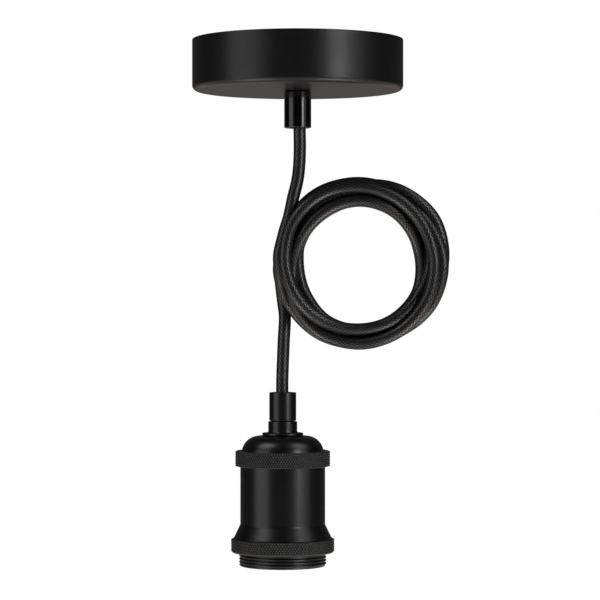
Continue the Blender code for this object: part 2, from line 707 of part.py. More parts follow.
def core_start(angle, height, centre_x, rise):
    """A core's first two points: where it leaves the cord's cut end, and the end of its straight start."""
    turn = math.radians(angle)
    x = centre_x + CORE_CIRCLE * math.cos(turn)
    y = CORE_CIRCLE * math.sin(turn)
    return [(x, y, height), (x, y, height + rise)]


def offset(points, origin, side=1):
    """Points measured from an origin, with their Y mirrored for side -1."""
    return [(origin[0] + x, origin[1] + side * y, origin[2] + z) for x, y, z in points]


def make_upper_cores(looks):
    """Live and neutral run to the block's tubes, and earth to the lug on the strap."""
    start = CORD_TOP + GAP
    for pole, side, look in (("live", 1, "live_brown"), ("neutral", -1, "neutral_blue")):
        y = side * POLE_SPACING / 2
        route = [
            *core_start(UPPER_CORE_ANGLE[pole], start, 0.0, CORE_RISE),
            *offset(POLE_BENDS, (0.0, 0.0, BLOCK_AXIS), side),
            (BLOCK_START, y, BLOCK_AXIS),
            (BLOCK_MIDDLE, y, BLOCK_AXIS),
        ]
        tube(f"upper_core_{pole}", route, CORE_RADIUS, looks[look], 3 * CORE_RADIUS)
    route = [
        *core_start(UPPER_CORE_ANGLE["earth"], start, 0.0, CORE_RISE),
        *offset(LUG_BENDS, (0.0, 0.0, LUG_BARREL_Z)),
        (LUG_BARREL_END, 0.0, LUG_BARREL_Z),
        (LUG_BARREL_START + LUG_THICKNESS + GAP, 0.0, LUG_BARREL_Z),
    ]
    tube("upper_core_earth", route, CORE_RADIUS, looks["earth_green"], 3 * CORE_RADIUS)


def make_cord(looks):
    """The cord's upper and lower runs, and its coil as one ring of the turns' outer shape."""
    spacing = 4 * CORD_RADIUS
    tube("cord_upper", UPPER_ROUTE, CORD_RADIUS, looks["black_textile"], spacing, 3)
    tube("cord_lower", LOWER_ROUTE, CORD_RADIUS, looks["black_textile"], spacing, 3)
    half = COIL_DEPTH / 2
    corners = (
        ((COIL_OUTER - COIL_ROUND, half - COIL_ROUND), 0),
        ((COIL_INNER + COIL_ROUND, half - COIL_ROUND), 90),
        ((COIL_INNER + COIL_ROUND, COIL_ROUND - half), 180),
        ((COIL_OUTER - COIL_ROUND, COIL_ROUND - half), 270),
    )
    outline = []
    for centre, start in corners:
        outline += arc(centre, COIL_ROUND, start, start + 90, EDGE_STEPS)
    turned("cord_coil", outline, looks["black_textile"], HOLDER_SIDES, (COIL_X, 0.0, COIL_Z), ALONG_Y)


def make_lower_grip(looks):
    """Metal grip on the neck's stud, with its set screw at the back."""
    thread_top = LOWER_GRIP_BOTTOM + LOWER_GRIP_THREAD
    edge = 2 * GRIP_EDGE
    outline = [
        (CORD_BORE, LOWER_GRIP_TOP),
        (LOWER_GRIP_RADIUS - edge, LOWER_GRIP_TOP),
        (LOWER_GRIP_RADIUS, LOWER_GRIP_TOP - edge),
        (LOWER_GRIP_RADIUS, LOWER_GRIP_BOTTOM),
        (STUD_HOLE, LOWER_GRIP_BOTTOM),
        (STUD_HOLE, thread_top),
        (CORD_BORE, thread_top),
    ]
    grip = turned("lower_grip", outline, looks["satin_black"], INNER_SIDES, (HOLDER_X, 0.0, 0.0))
    height = (LOWER_GRIP_TOP + thread_top) / 2
    set_screw("lower_grip_screw", grip, looks["black_screw"], HOLDER_X, height, LOWER_GRIP_RADIUS)


def make_neck(looks):
    """Neck, flange and the studs above and below them, turned in one piece."""
    stud_top = LOWER_GRIP_BOTTOM + LOWER_GRIP_THREAD - GAP
    edge = FLANGE_THICKNESS / 4
    fillet = arc((NECK_RADIUS + NECK_FILLET, FLANGE_TOP + NECK_FILLET), NECK_FILLET, 180, 270, BEND_STEPS)
    outline = [
        (CORD_BORE, stud_top),
        (STUD_RADIUS, stud_top),
        (STUD_RADIUS, NECK_TOP),
        (NECK_RADIUS - GRIP_EDGE, NECK_TOP),
        (NECK_RADIUS, NECK_TOP - GRIP_EDGE),
        *fillet,
        (FLANGE_RADIUS - edge, FLANGE_TOP),
        (FLANGE_RADIUS, FLANGE_TOP - edge),
        (FLANGE_RADIUS, FLANGE_BOTTOM + edge),
        (FLANGE_RADIUS - edge, FLANGE_BOTTOM),
        (STUD_RADIUS, FLANGE_BOTTOM),
        (STUD_RADIUS, NECK_STUD_BOTTOM),
        (CORD_BORE, NECK_STUD_BOTTOM),
    ]
    turned("neck_bush", outline, looks["satin_black"], INNER_SIDES, (HOLDER_X, 0.0, 0.0))


def dome(flat, radius, top, bottom, steps):
    """A rounded shoulder from a flat top to its widest radius, from the widest point up."""
    angles = [math.radians(90 * step / steps) for step in range(steps + 1)]
    return [(flat + (radius - flat) * math.cos(a), bottom + (top - bottom) * math.sin(a)) for a in angles]


def make_cap(looks):
    """Domed cap with a rim that the upper ring holds down on the body."""
    flat = CAP_RADIUS - CAP_SHOULDER
    outer = dome(flat, CAP_RADIUS, CAP_TOP, CAP_RIM_TOP, END_STEPS)
    inner = dome(flat, CAP_MOUTH, CAP_TOP - CAP_WALL, CAP_RIM_TOP, BEND_STEPS)
    outline = [
        (STUD_HOLE, CAP_TOP),
        *reversed(outer),
        (BODY_RADIUS, CAP_RIM_TOP),
        (BODY_RADIUS, CAP_BOTTOM),
        (CAP_MOUTH, CAP_BOTTOM),
        *inner,
        (STUD_HOLE, CAP_TOP - CAP_WALL),
    ]
    turned("dome_cap", outline, looks["satin_black"], HOLDER_SIDES, (HOLDER_X, 0.0, 0.0))
    nut("cap_nut", looks["zinc_steel"], CAP_NUT_TOP - NUT_HEIGHT, HOLDER_X)


def make_upper_ring(looks):
    """Ring with an inner lip over the cap's rim, screwed on the body's plain end."""
    bottom = UPPER_RING_TOP - UPPER_RING_HEIGHT
    bore = BODY_RADIUS + GAP
    outline = [
        (CAP_RADIUS + GAP, UPPER_RING_TOP),
        (UPPER_RING_RADIUS - RING_EDGE, UPPER_RING_TOP),
        (UPPER_RING_RADIUS, UPPER_RING_TOP - RING_EDGE),
        (UPPER_RING_RADIUS, bottom + RING_EDGE),
        (UPPER_RING_RADIUS - RING_EDGE, bottom),
        (bore, bottom),
        (bore, UPPER_RING_TOP - RING_LIP),
        (CAP_RADIUS + GAP, UPPER_RING_TOP - RING_LIP),
    ]
    turned("upper_ring", outline, looks["knurled_black"], HOLDER_SIDES, (HOLDER_X, 0.0, 0.0))


def thread_ridges():
    """Crests and roots of the threaded end, as rings one pitch apart, from the flare down."""
    count = int((THREAD_LENGTH - THREAD_PITCH / 2) / THREAD_PITCH)
    root = THREAD_CREST - THREAD_DEPTH
    ridges = []
    for turn in range(count):
        top = FLARE_BOTTOM - turn * THREAD_PITCH
        ridges += [(root, top), (THREAD_CREST, top - THREAD_PITCH / 2)]
    return [*ridges, (root, FLARE_BOTTOM - count * THREAD_PITCH)]


def make_body(looks):
    """Turned shell: plain tube, flare, threaded end and an inner lip that carries the insert."""
    root = THREAD_CREST - THREAD_DEPTH
    flare = [
        (BODY_RADIUS + FLARE_SPREAD * share**FLARE_CURVE, FLARE_BOTTOM + FLARE_HEIGHT * (1 - share))
        for share in FLARE_SHARES
    ]
    lip_top = BODY_BOTTOM + BODY_LIP
    lip_radius = BODY_BORE - BODY_LIP_REACH
    outline = [
        (BODY_BORE, BODY_TOP),
        (BODY_RADIUS, BODY_TOP),
        *flare,
        (BODY_RADIUS + FLARE_SPREAD, FLARE_BOTTOM),
        *thread_ridges(),
        (root, BODY_BOTTOM),
        (lip_radius, BODY_BOTTOM),
        (lip_radius, lip_top),
        (BODY_BORE, lip_top),
    ]
    turned("body_shell", outline, looks["satin_black"], HOLDER_SIDES, (HOLDER_X, 0.0, 0.0))


def make_shade_ring(looks):
    """Ring on the threaded end."""
    bottom = SHADE_RING_TOP - SHADE_RING_HEIGHT
    bore = THREAD_CREST + GAP
    outline = [
        (bore, SHADE_RING_TOP),
        (SHADE_RING_RADIUS - RING_EDGE, SHADE_RING_TOP),
        (SHADE_RING_RADIUS, SHADE_RING_TOP - RING_EDGE),
        (SHADE_RING_RADIUS, bottom + SHADE_RING_CHAMFER),
        (SHADE_RING_RADIUS - SHADE_RING_CHAMFER, bottom),
        (bore, bottom),
    ]
    turned("shade_ring", outline, looks["knurled_black"], HOLDER_SIDES, (HOLDER_X, 0.0, 0.0))


def make_insert(looks):
    """Ceramic insert with a wiring cup above its floor and the lamp cavity below it."""
    outline = [
        (0.0, FLOOR_TOP),
        (WIRING_CUP_RADIUS, FLOOR_TOP),
        (WIRING_CUP_RADIUS, INSERT_TOP),
        (INSERT_RADIUS, INSERT_TOP),
        (INSERT_RADIUS, INSERT_BOTTOM),
        (LAMP_CAVITY_RADIUS, INSERT_BOTTOM),
        (LAMP_CAVITY_RADIUS, FLOOR_BOTTOM),
        (0.0, FLOOR_BOTTOM),
    ]
    insert = turned("insert", outline, looks["ceramic"], INNER_SIDES, (HOLDER_X, 0.0, 0.0))
    for y in (-RIVET_CIRCLE, 0.0, RIVET_CIRCLE):
        drill(insert, RIVET_RADIUS + GAP, FLOOR_BOTTOM - GAP, FLOOR_TOP + GAP, (HOLDER_X, y, 0.0))
    depth = TERMINAL_SCREW_LENGTH
    for x, y in ((LIVE_SCREW_X, 0.0), (NEUTRAL_SCREW_X, -RIVET_CIRCLE)):
        drill(insert, RIVET_RADIUS + GAP, FLOOR_TOP - depth, FLOOR_TOP + GAP, (HOLDER_X + x, y, 0.0))


def make_screw_shell(looks):
    """Flanged metal shell whose wall is pressed into the lamp's round thread."""
    bottom = SHELL_TOP - LAMP_SHELL_LENGTH
    start = SHELL_TOP - LAMP_SHELL_PLAIN
    rows = round(LAMP_THREAD_ROWS * (start - bottom) / LAMP_THREAD_PITCH)
    heights = [start + (bottom - start) * row / rows for row in range(rows + 1)]
    outline = [
        (LAMP_SHELL_HOLE, SHELL_TOP),
        (SHELL_OUTER, SHELL_TOP),
        *[(SHELL_OUTER, height) for height in heights],
        *[(LAMP_THREAD_RADIUS, height) for height in reversed(heights)],
        (LAMP_THREAD_RADIUS, SHELL_TOP - LAMP_SHELL_FLANGE),
        (LAMP_SHELL_HOLE, SHELL_TOP - LAMP_SHELL_FLANGE),
    ]
    shape = spun(outline, INNER_SIDES)
    for point in shape.verts:
        fade = min(1.0, max(0.0, (start - point.co.z) / LAMP_SHELL_PLAIN))
        turns = (start - point.co.z) / LAMP_THREAD_PITCH
        wave = math.sin(2 * math.pi * turns - math.atan2(point.co.y, point.co.x))
        flat = Vector((point.co.x, point.co.y, 0.0))
        point.co += flat.normalized() * LAMP_THREAD_WAVE * wave * fade
    shell = placed("screw_shell", shape, looks["nickel"], (HOLDER_X, 0.0, 0.0))
    hole_bottom = SHELL_TOP - 2 * LAMP_SHELL_FLANGE
    for y in (-RIVET_CIRCLE, RIVET_CIRCLE):
        drill(shell, RIVET_RADIUS + GAP, hole_bottom, SHELL_TOP + GAP, (HOLDER_X, y, 0.0))


def rivet(name, look, y, top_seat, bottom_seat):
    """A rivet through the insert's floor, with a head on each side."""
    outline = [
        (0.0, top_seat + RIVET_HEAD_HEIGHT),
        (RIVET_HEAD, top_seat + RIVET_HEAD_HEIGHT),
        (RIVET_HEAD, top_seat),
        (RIVET_RADIUS, top_seat),
        (RIVET_RADIUS, bottom_seat),
        (RIVET_HEAD, bottom_seat),
        (RIVET_HEAD, bottom_seat - RIVET_HEAD_HEIGHT),
        (0.0, bottom_seat - RIVET_HEAD_HEIGHT),
    ]
    turned(name, outline, look, SCREW_SIDES, (HOLDER_X, y, 0.0))


def contact_outline():
    """The folded contact strip seen from the front, as both sides of a bent line."""
    half = CONTACT_THICKNESS / 2
    top = SHELL_TOP - half
    low = top - CONTACT_DROP
    line = [
        (-RIVET_HEAD - CONTACT_NOSE, top),
        *[(CONTACT_REACH * out, top - CONTACT_DROP * down) for out, down in CONTACT_BEND],
        (CONTACT_NOSE, low),
        (-CONTACT_NOSE, low),
        (-CONTACT_NOSE * CONTACT_TAIL[0], low + CONTACT_DROP * CONTACT_TAIL[1]),
    ]
    points = [Vector(point) for point in line]
    sides = ([], [])
    for index, point in enumerate(points):
        before = points[max(index - 1, 0)]
        after = points[min(index + 1, len(points) - 1)]
        arrive = (point - before).normalized() if index else (after - point).normalized()
        leave = (after - point).normalized() if index < len(points) - 1 else arrive
        middle = (arrive + leave).normalized()
        normal = Vector((-middle.y, middle.x)) * half / max(middle.dot(arrive), MITRE_LIMIT)
        sides[0].append(tuple(point + normal))
        sides[1].append(tuple(point - normal))
    return sides[0] + sides[1][::-1]


def make_contacts(looks):
    """Lamp contact, rivets, terminal plates and their screws."""
    at = (HOLDER_X, 0.0, 0.0)
    contact = extruded("centre_contact", contact_outline(), CONTACT_WIDTH, looks["brass"], at)
    hole_bottom = SHELL_TOP - CONTACT_DROP / 2
    drill(contact, RIVET_RADIUS + GAP, hole_bottom, SHELL_TOP + GAP, at)
    plate_seat = PLATE_TOP + GAP
    lower_seat = SHELL_TOP - CONTACT_THICKNESS - GAP
    shell_seat = SHELL_TOP - LAMP_SHELL_FLANGE - GAP
    rivet("contact_rivet", looks["brass"], 0.0, plate_seat, lower_seat)
    rivet("shell_rivet_front", looks["brass"], -RIVET_CIRCLE, plate_seat, shell_seat)
    rivet("shell_rivet_back", looks["brass"], RIVET_CIRCLE, FLOOR_TOP + GAP, shell_seat)
    for pole, y, screw_x in (("live", 0.0, LIVE_SCREW_X), ("neutral", -RIVET_CIRCLE, NEUTRAL_SCREW_X)):
        ends = (0.0, screw_x)
        low = (HOLDER_X + min(ends) - PLATE_END, y - PLATE_WIDTH / 2, FLOOR_TOP + GAP)
        high = (HOLDER_X + max(ends) + PLATE_END, y + PLATE_WIDTH / 2, PLATE_TOP)
        plate = box(f"terminal_plate_{pole}", low, high, looks["brass"])
        for x in ends:
            drill(plate, RIVET_RADIUS + GAP, FLOOR_TOP, PLATE_TOP + GAP, (HOLDER_X + x, y, 0.0))
        screw(
            f"terminal_screw_{pole}",
            looks["brass"],
            (HOLDER_X + screw_x, y, plate_seat),
            UPRIGHT,
            TERMINAL_SCREW_HEAD,
            TERMINAL_SCREW_HEAD_HEIGHT,
            RIVET_RADIUS,
            TERMINAL_SCREW_LENGTH,
        )


def make_cap_earth(looks):
    """Earth tag clamped under the cap's nut, bent down to its screw."""
    at = (HOLDER_X, 0.0, 0.0)
    bottom = TAG_TOP - LUG_THICKNESS
    tag = rod("holder_earth_tag", TAG_RADIUS, bottom, TAG_TOP, looks["nickel"], INNER_SIDES, at)
    inner = TAG_REACH - LUG_THICKNESS
    bend = [
        (-TAG_RADIUS + LUG_THICKNESS, TAG_TOP),
        (-TAG_REACH + LUG_THICKNESS / 2, TAG_TOP),
        (-TAG_REACH, TAG_TOP - LUG_THICKNESS / 2),
        (-TAG_REACH, TAG_BOTTOM),
        (-inner, TAG_BOTTOM),
        (-inner, bottom),
        (-TAG_RADIUS + LUG_THICKNESS, bottom),
    ]
    combine(tag, extruded("tag_tail", bend, TAG_WIDTH, None, at), "UNION")
    drill(tag, STUD_HOLE, bottom - GAP, TAG_TOP + GAP, at, sides=INNER_SIDES)
    place = (HOLDER_X - inner + GAP, 0.0, TAG_BOTTOM + TAG_SCREW_HEAD)
    drill(tag, TAG_SCREW_SHANK + GAP, -3 * LUG_THICKNESS, LUG_THICKNESS, place, ALONG_X)
    screw(
        "holder_earth_screw",
        looks["brass"],
        place,
        ALONG_X,
        TAG_SCREW_HEAD,
        TAG_SCREW_HEAD_HEIGHT,
        TAG_SCREW_SHANK,
        3 * LUG_THICKNESS,
    )


def make_lower_cores(looks):
    """Live and neutral run to the screws on the insert's floor, and earth up to the cap's tag."""
    start = CORD_BOTTOM - GAP
    level = PLATE_TOP + GAP + CORE_RADIUS
    reach = TERMINAL_SCREW_HEAD + GAP
    live_screw = (HOLDER_X + LIVE_SCREW_X, 0.0, level)
    live = [
        *core_start(LOWER_CORE_ANGLE["live"], start, HOLDER_X, -CORE_RISE),
        *offset(LIVE_BENDS, live_screw),
        *offset([(0.0, reach, 0.0)], live_screw),
    ]
    tube("lower_core_live", live, CORE_RADIUS, looks["live_brown"], 2 * CORE_RADIUS)
    neutral_screw = (HOLDER_X + NEUTRAL_SCREW_X, -RIVET_CIRCLE, level)
    neutral = [
        *core_start(LOWER_CORE_ANGLE["neutral"], start, HOLDER_X, -CORE_RISE),
        *offset(NEUTRAL_BENDS, neutral_screw),
        *offset([(0.0, reach, 0.0)], neutral_screw),
    ]
    tube("lower_core_neutral", neutral, CORE_RADIUS, looks["neutral_blue"], 2 * CORE_RADIUS)
    end_x = HOLDER_X - TAG_REACH + LUG_THICKNESS + GAP + CORE_RADIUS
    earth = [
        *core_start(LOWER_CORE_ANGLE["earth"], start, HOLDER_X, -CORE_RISE),
        *offset(TAG_BENDS, (HOLDER_X, 0.0, start)),
        (end_x, 0.0, TAG_BOTTOM - TAG_RUN),
        (end_x, 0.0, TAG_BOTTOM - GAP),
    ]
    tube("lower_core_earth", earth, CORE_RADIUS, looks["earth_green"], 2 * CORE_RADIUS)


def main():
    clear_scene()
    looks = finishes()
    make_ceiling_bracket(looks)
    make_canopy(looks)
    make_side_screws(looks)
    make_upper_grip(looks)
    make_terminal_block(looks)
    make_ceiling_earth(looks)
    make_upper_cores(looks)
    make_cord(looks)
    make_lower_grip(looks)
    make_neck(looks)
    make_cap(looks)
    make_upper_ring(looks)
    make_body(looks)
    make_shade_ring(looks)
    make_insert(looks)
    make_screw_shell(looks)
    make_contacts(looks)
    make_cap_earth(looks)
    make_lower_cores(looks)


main()
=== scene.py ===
"""Pendant light: the looks of its pieces, its wound cord and a plain studio.

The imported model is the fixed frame. Lengths are in metres and +Z points up.
"""

import math

import bmesh
import bpy
import numpy as np
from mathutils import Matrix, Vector


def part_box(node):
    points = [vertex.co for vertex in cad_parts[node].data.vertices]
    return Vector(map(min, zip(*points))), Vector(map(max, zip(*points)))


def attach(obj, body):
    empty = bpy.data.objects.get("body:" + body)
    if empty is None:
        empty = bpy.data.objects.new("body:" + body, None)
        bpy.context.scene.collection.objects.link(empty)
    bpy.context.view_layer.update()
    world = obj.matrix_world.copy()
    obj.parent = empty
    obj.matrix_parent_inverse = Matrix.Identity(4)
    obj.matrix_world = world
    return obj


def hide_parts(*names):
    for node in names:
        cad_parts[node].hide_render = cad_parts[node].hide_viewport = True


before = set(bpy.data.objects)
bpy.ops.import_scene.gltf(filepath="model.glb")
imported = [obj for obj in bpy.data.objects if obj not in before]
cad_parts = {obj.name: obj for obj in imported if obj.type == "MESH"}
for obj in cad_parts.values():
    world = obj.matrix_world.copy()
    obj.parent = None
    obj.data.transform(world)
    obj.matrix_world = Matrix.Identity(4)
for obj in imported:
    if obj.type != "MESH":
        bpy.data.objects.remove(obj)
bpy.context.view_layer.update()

# Camera, level and in front of the object
CAMERA_PLACE = (0.00109, -1.1608, -0.1233)
CAMERA_LENS = 146.95
SENSOR_WIDTH = 36.0

# Clearance between neighbouring pieces
GAP = 0.0003

# Angles in degrees: bends that stay as they are, and the least edges that stay sharp on a tube and a cut
SMOOTH_BEND = 25
SHARP_TUBE_EDGE = 60
SHARP_CUT_EDGE = 35

# Most of a side that one rounded corner may take, and how near its ends a long side gets more points
ROUND_SHARE = 0.4
SUPPORT = 0.0002

# Ceiling cup, and the sink for the screws in its wall
CUP_WALL = 0.0010
CUP_EDGE = 0.0026
SINK_DEPTH = 0.006
SINK_SPARE = 0.001

# Cord grips, neck and flange
HOLDER_X = -0.0071
STUD_RADIUS = 0.0049
STUD_HOLE = STUD_RADIUS + GAP
CORD_BORE = 0.0036
CORD_LEAN_ROOM = 0.00135
SET_SCREW_DEPTH = 0.02
LOWER_GRIP_THREAD = 0.0063
NECK_RADIUS = 0.00685
NECK_LENGTH = 0.0054
NECK_FILLET = 0.0009
FLANGE_THICKNESS = 0.0012

# Domed cap
CAP_STEP = 0.00055
CAP_SHOULDER = 0.00805
CAP_RIM = 0.0012
CAP_RIM_WIDTH = 0.0031
CAP_WALL = 0.0012

# Body with a flare, a threaded end and an inner lip, and the distance at which a point is on the thread
BODY_WALL = 0.0015
FLARE_HEIGHT = 0.0064
FLARE_EDGE = 0.0002
THREAD_LENGTH = 0.01315
THREAD_STEP = 0.00056
THREAD_DEPTH = 0.0006
THREAD_PITCH = 0.0015
THREAD_FINENESS = 0.00015
THREAD_RUNOUT = 0.0006
THREAD_FULLNESS = 0.8
ON_THREAD = 1e-7
BODY_LIP_REACH = 0.0031
BODY_LIP = 0.0012

# Knurled rings
UPPER_RING_WALL = 0.00244
SHADE_RING_WALL = 0.00386
SHADE_RING_CHAMFER = 0.0007
RING_LIP = 0.0012
RING_EDGE = 0.0003

# Knurl: teeth round a ring, their height and depth, the points for each tooth, the distance at which a
# point counts as on the face, and how much painted light the smooth parts beside the knurl get
KNURL_TEETH = 112
KNURL_RISE = 0.0021
KNURL_DEPTH = 0.00045
KNURL_COLUMNS = 6
KNURL_ROWS = 12
ON_FACE = 1e-6
SMOOTH_PAINTED_LIGHT = 0.65

# Cord, its braid, and the centre of its coil
CORD_DIAMETER = 0.0059
CORD_SIDES = 20
CORD_SPACING = 0.001
YARNS_ROUND = 12.0
YARN_PITCH = 0.0023
YARN_FIBRES = 4
FIBRE_HEIGHT = 0.08
COIL_X = 0.02976
COIL_Z = -0.10576

# Route of the cord above the coil and below it, the same as the solids have
UPPER_ROUTE = [
    (0.0000, 0.0000, -0.0140),
    (0.0001, 0.0000, -0.0243),
    (0.0006, 0.0000, -0.0340),
    (0.0009, 0.0000, -0.0430),
    (0.0010, -0.0003, -0.0520),
    (0.0006, -0.0010, -0.0610),
    (-0.0004, -0.0021, -0.0680),
    (-0.0021, -0.0034, -0.0748),
]
LOWER_ROUTE = [
    (-0.0061, 0.0044, -0.1314),
    (-0.0066, 0.0030, -0.1420),
    (-0.0070, 0.0014, -0.1520),
    (-0.0073, 0.0003, -0.1610),
    (-0.0073, 0.0000, -0.1700),
    (HOLDER_X, 0.0000, -0.1800),
    (HOLDER_X, 0.0000, -0.1900),
    (HOLDER_X, 0.0000, -0.1980),
]
INTO_COIL = [(-0.0041, -0.0032, -0.0841), (-0.0068, -0.0028, -0.0932)]
OUT_OF_COIL = [(-0.0080, 0.0062, -0.1155), (-0.0070, 0.0066, -0.1240)]

# Turns of the coil, from the left side down and round: distance from its centre and depth, in
# millimetres, at every step of a turn
TURN_STEPS = 12
TURNS = [
    [
        (38.5, -1.9), (38.8, 2.0), (38.8, 1.4), (37.9, 0.0), (37.0, -0.6), (38.6, -2.4),
        (38.6, -3.0), (36.4, -2.0), (33.9, -1.3), (33.4, -1.6), (33.9, -1.3), (31.6, 1.0),
    ],
    [
        (29.7, 2.4), (30.1, 1.0), (31.8, -1.0), (32.0, -0.3), (31.5, 0.0), (35.0, 1.9),
        (39.2, 2.9), (40.7, 2.1), (39.2, 0.8), (36.6, 3.2), (33.4, 5.4), (35.2, 8.0),
    ],
    [
        (36.4, 9.4), (37.3, 8.3), (37.8, 7.4), (37.6, 6.2), (36.9, 5.3), (36.0, 7.4),
        (34.1, 5.6), (30.3, 5.2), (29.8, 3.8), (30.6, 4.0), (29.7, 2.6), (30.3, 6.0),
    ],
    [
        (30.8, 8.2), (32.6, 6.2), (33.5, 4.8), (31.9, 5.8), (31.3, 6.0), (30.8, 5.2),
        (29.1, 2.4), (28.7, -0.5), (29.2, -3.0), (29.5, -4.0), (29.5, -5.0), (30.3, -4.8),
    ],
    [
        (32.2, -3.0), (36.1, -2.4), (38.2, -4.5), (38.1, -6.0), (37.0, -6.6), (35.6, -7.3),
        (34.6, -7.6), (34.1, -7.6), (34.6, -7.3), (35.6, -7.0), (37.1, -7.0), (37.1, -7.5),
    ],
    [
        (35.6, -7.5), (34.2, -7.8), (32.8, -7.2), (31.4, -6.5), (31.1, -5.8), (31.5, -3.2),
        (33.0, -1.7), (35.2, 3.4), (37.3, 6.3), (38.2, 8.0), (37.9, 5.6), (38.6, 3.6),
    ],
    [(38.5, 4.2)],
]

# Smooth curves through points: short steps between each two
CURVE_STEPS = 24

# Settling of the strands: the spacing of the cord's points, how many of them stay fixed above the
# holder, how far along the cord another strand begins, and the least distance that is reckoned with
SETTLE_SPACING = 0.003
FIXED_BELOW = 28
STRAND_APART = 8
LEAST_DISTANCE = 0.0005

# In each round of settling: the push apart and the pull home in X, Y and Z, and the stiffness
ROUNDS = 260
PUSH = (0.4, 0.95, 0.4)
PULL = (0.03, 0.005, 0.03)
STIFFNESS = 0.4

# Softboxes: name, azimuth and elevation in degrees, width and height in metres, and radiance. They stand
# round the middle of the object, all at one distance
SOFTBOXES = [
    ("left_low", -58, -46, 0.9, 0.8, 3.4),
    ("left_middle", -59, 5, 1.05, 1.0, 1.5),
    ("left_high", -66, 50, 0.8, 0.8, 3.0),
    ("right_low", 52, -46, 0.8, 0.8, 5.0),
    ("right_middle", 62, 5, 0.7, 1.0, 0.7),
    ("right_high", 66, 50, 0.8, 0.8, 2.2),
    ("key", 44, 12, 0.34, 0.9, 7.2),
]
SOFTBOX_DISTANCE = 1.5
STUDIO_CENTRE = (0.0, 0.0, -0.12)

# Floor: its reach and level, and how much of it glows for the camera and in reflections
FLOOR_REACH = 6.0
FLOOR_LEVEL = -1.8
FLOOR_GLOW = 0.7


def settle(points, held):
    """Pushes strands of the wound cord apart until they lie beside each other, and keeps its shape."""
    home = points.copy()
    here = points.copy()
    order = np.arange(len(points))
    other_strand = np.abs(order[:, None] - order[None]) > STRAND_APART
    for _ in range(ROUNDS):
        gap = here[:, None] - here[None]
        distance = np.sqrt((gap**2).sum(2))
        close = other_strand & (distance < CORD_DIAMETER)
        force = np.where(close, (CORD_DIAMETER - distance) / np.maximum(distance, LEAST_DISTANCE), 0.0)
        count = np.maximum(close.sum(1), 1)
        move = (force[..., None] * gap).sum(1) / count[:, None] * PUSH
        move += (home - here) * PULL
        shift = here - home
        move[1:-1] += ((shift[:-2] + shift[2:]) / 2 - shift[1:-1]) * STIFFNESS
        move[held] = 0.0
        here = here + move
    return here


def resampled(points, spacing):
    """Evenly spaced points on a smooth curve through the points."""
    knots = np.array(points, float)
    ends = np.vstack([2 * knots[0] - knots[1], knots, 2 * knots[-1] - knots[-2]])
    share = np.linspace(0, 1, CURVE_STEPS, endpoint=False)[:, None]
    fine = []
    for before, first, second, after in zip(ends, ends[1:], ends[2:], ends[3:]):
        slope = second - before
        bend = 2 * before - 5 * first + 4 * second - after
        twist = 3 * (first - second) + after - before
        fine.append(first + 0.5 * share * (slope + share * (bend + share * twist)))
    fine = np.vstack([*fine, knots[-1:]])
    along = np.concatenate([[0], np.cumsum(np.linalg.norm(np.diff(fine, axis=0), axis=1))])
    at = np.linspace(0, along[-1], round(along[-1] / spacing) + 1)
    return np.stack([np.interp(at, along, fine[:, axis]) for axis in range(3)], axis=1)


def cord_centreline():
    """The cord from inside the ceiling cup, round its coil, to inside the holder."""
    route = [*UPPER_ROUTE, *INTO_COIL]
    for turn in TURNS:
        for step, (radius, depth) in enumerate(turn):
            angle = math.pi + 2 * math.pi * step / TURN_STEPS
            across = radius * math.cos(angle) / 1000
            up = radius * math.sin(angle) / 1000
            route.append((COIL_X + across, depth / 1000, COIL_Z + up))
    route += [*OUT_OF_COIL, *LOWER_ROUTE]
    points = resampled(route, SETTLE_SPACING)
    straight = np.linalg.norm(np.diff(np.array(UPPER_ROUTE), axis=0), axis=1).sum()
    upper_count = round(straight / SETTLE_SPACING)
    held = np.zeros(len(points), bool)
    held[:upper_count] = True
    held[-FIXED_BELOW:] = True
    points = settle(points, held)
    return resampled(points, CORD_SPACING)


def tube(name, path, radius, sides):
    """A closed round tube along a path, with UVs that run round it and along it in metres."""
    ahead = np.gradient(path, axis=0)
    ahead /= np.linalg.norm(ahead, axis=1)[:, None]
    side = np.cross(ahead[0], (0.0, 1.0, 0.0))
    rings = []
    angles = np.arange(sides) * 2 * math.pi / sides
    for place, forward in zip(path, ahead):
        side = side - forward * side.dot(forward)
        side /= np.linalg.norm(side)
        up = np.cross(forward, side)
        rings.append(place + radius * (np.outer(np.cos(angles), side) + np.outer(np.sin(angles), up)))
    points = np.vstack(rings)
    count = len(path)
    faces = []
    uvs = []
    along = np.concatenate([[0], np.cumsum(np.linalg.norm(np.diff(path, axis=0), axis=1))])
    for ring in range(count - 1):
        for step in range(sides):
            here = ring * sides + step
            beside = ring * sides + (step + 1) % sides
            faces.append((here, beside, beside + sides, here + sides))
            left, right = step / sides, (step + 1) / sides
            start, end = along[ring], along[ring + 1]
            uvs += [(left, start), (right, start), (right, end), (left, end)]
    faces.append(tuple(range(sides))[::-1])
    faces.append(tuple(range((count - 1) * sides, count * sides)))
    uvs += [(0.0, 0.0)] * sides + [(0.0, along[-1])] * sides
    mesh = bpy.data.meshes.new(name)
    mesh.from_pydata(points.tolist(), [], faces)
    layer = mesh.uv_layers.new(name="UVMap")
    layer.data.foreach_set("uv", np.array(uvs, np.float32).ravel())
    mesh.shade_smooth()
    mesh.set_sharp_from_angle(angle=math.radians(SHARP_TUBE_EDGE))
    return linked(name, mesh)


def linked(name, mesh):
    piece = bpy.data.objects.new(name, mesh)
    bpy.context.scene.collection.objects.link(piece)
    return piece


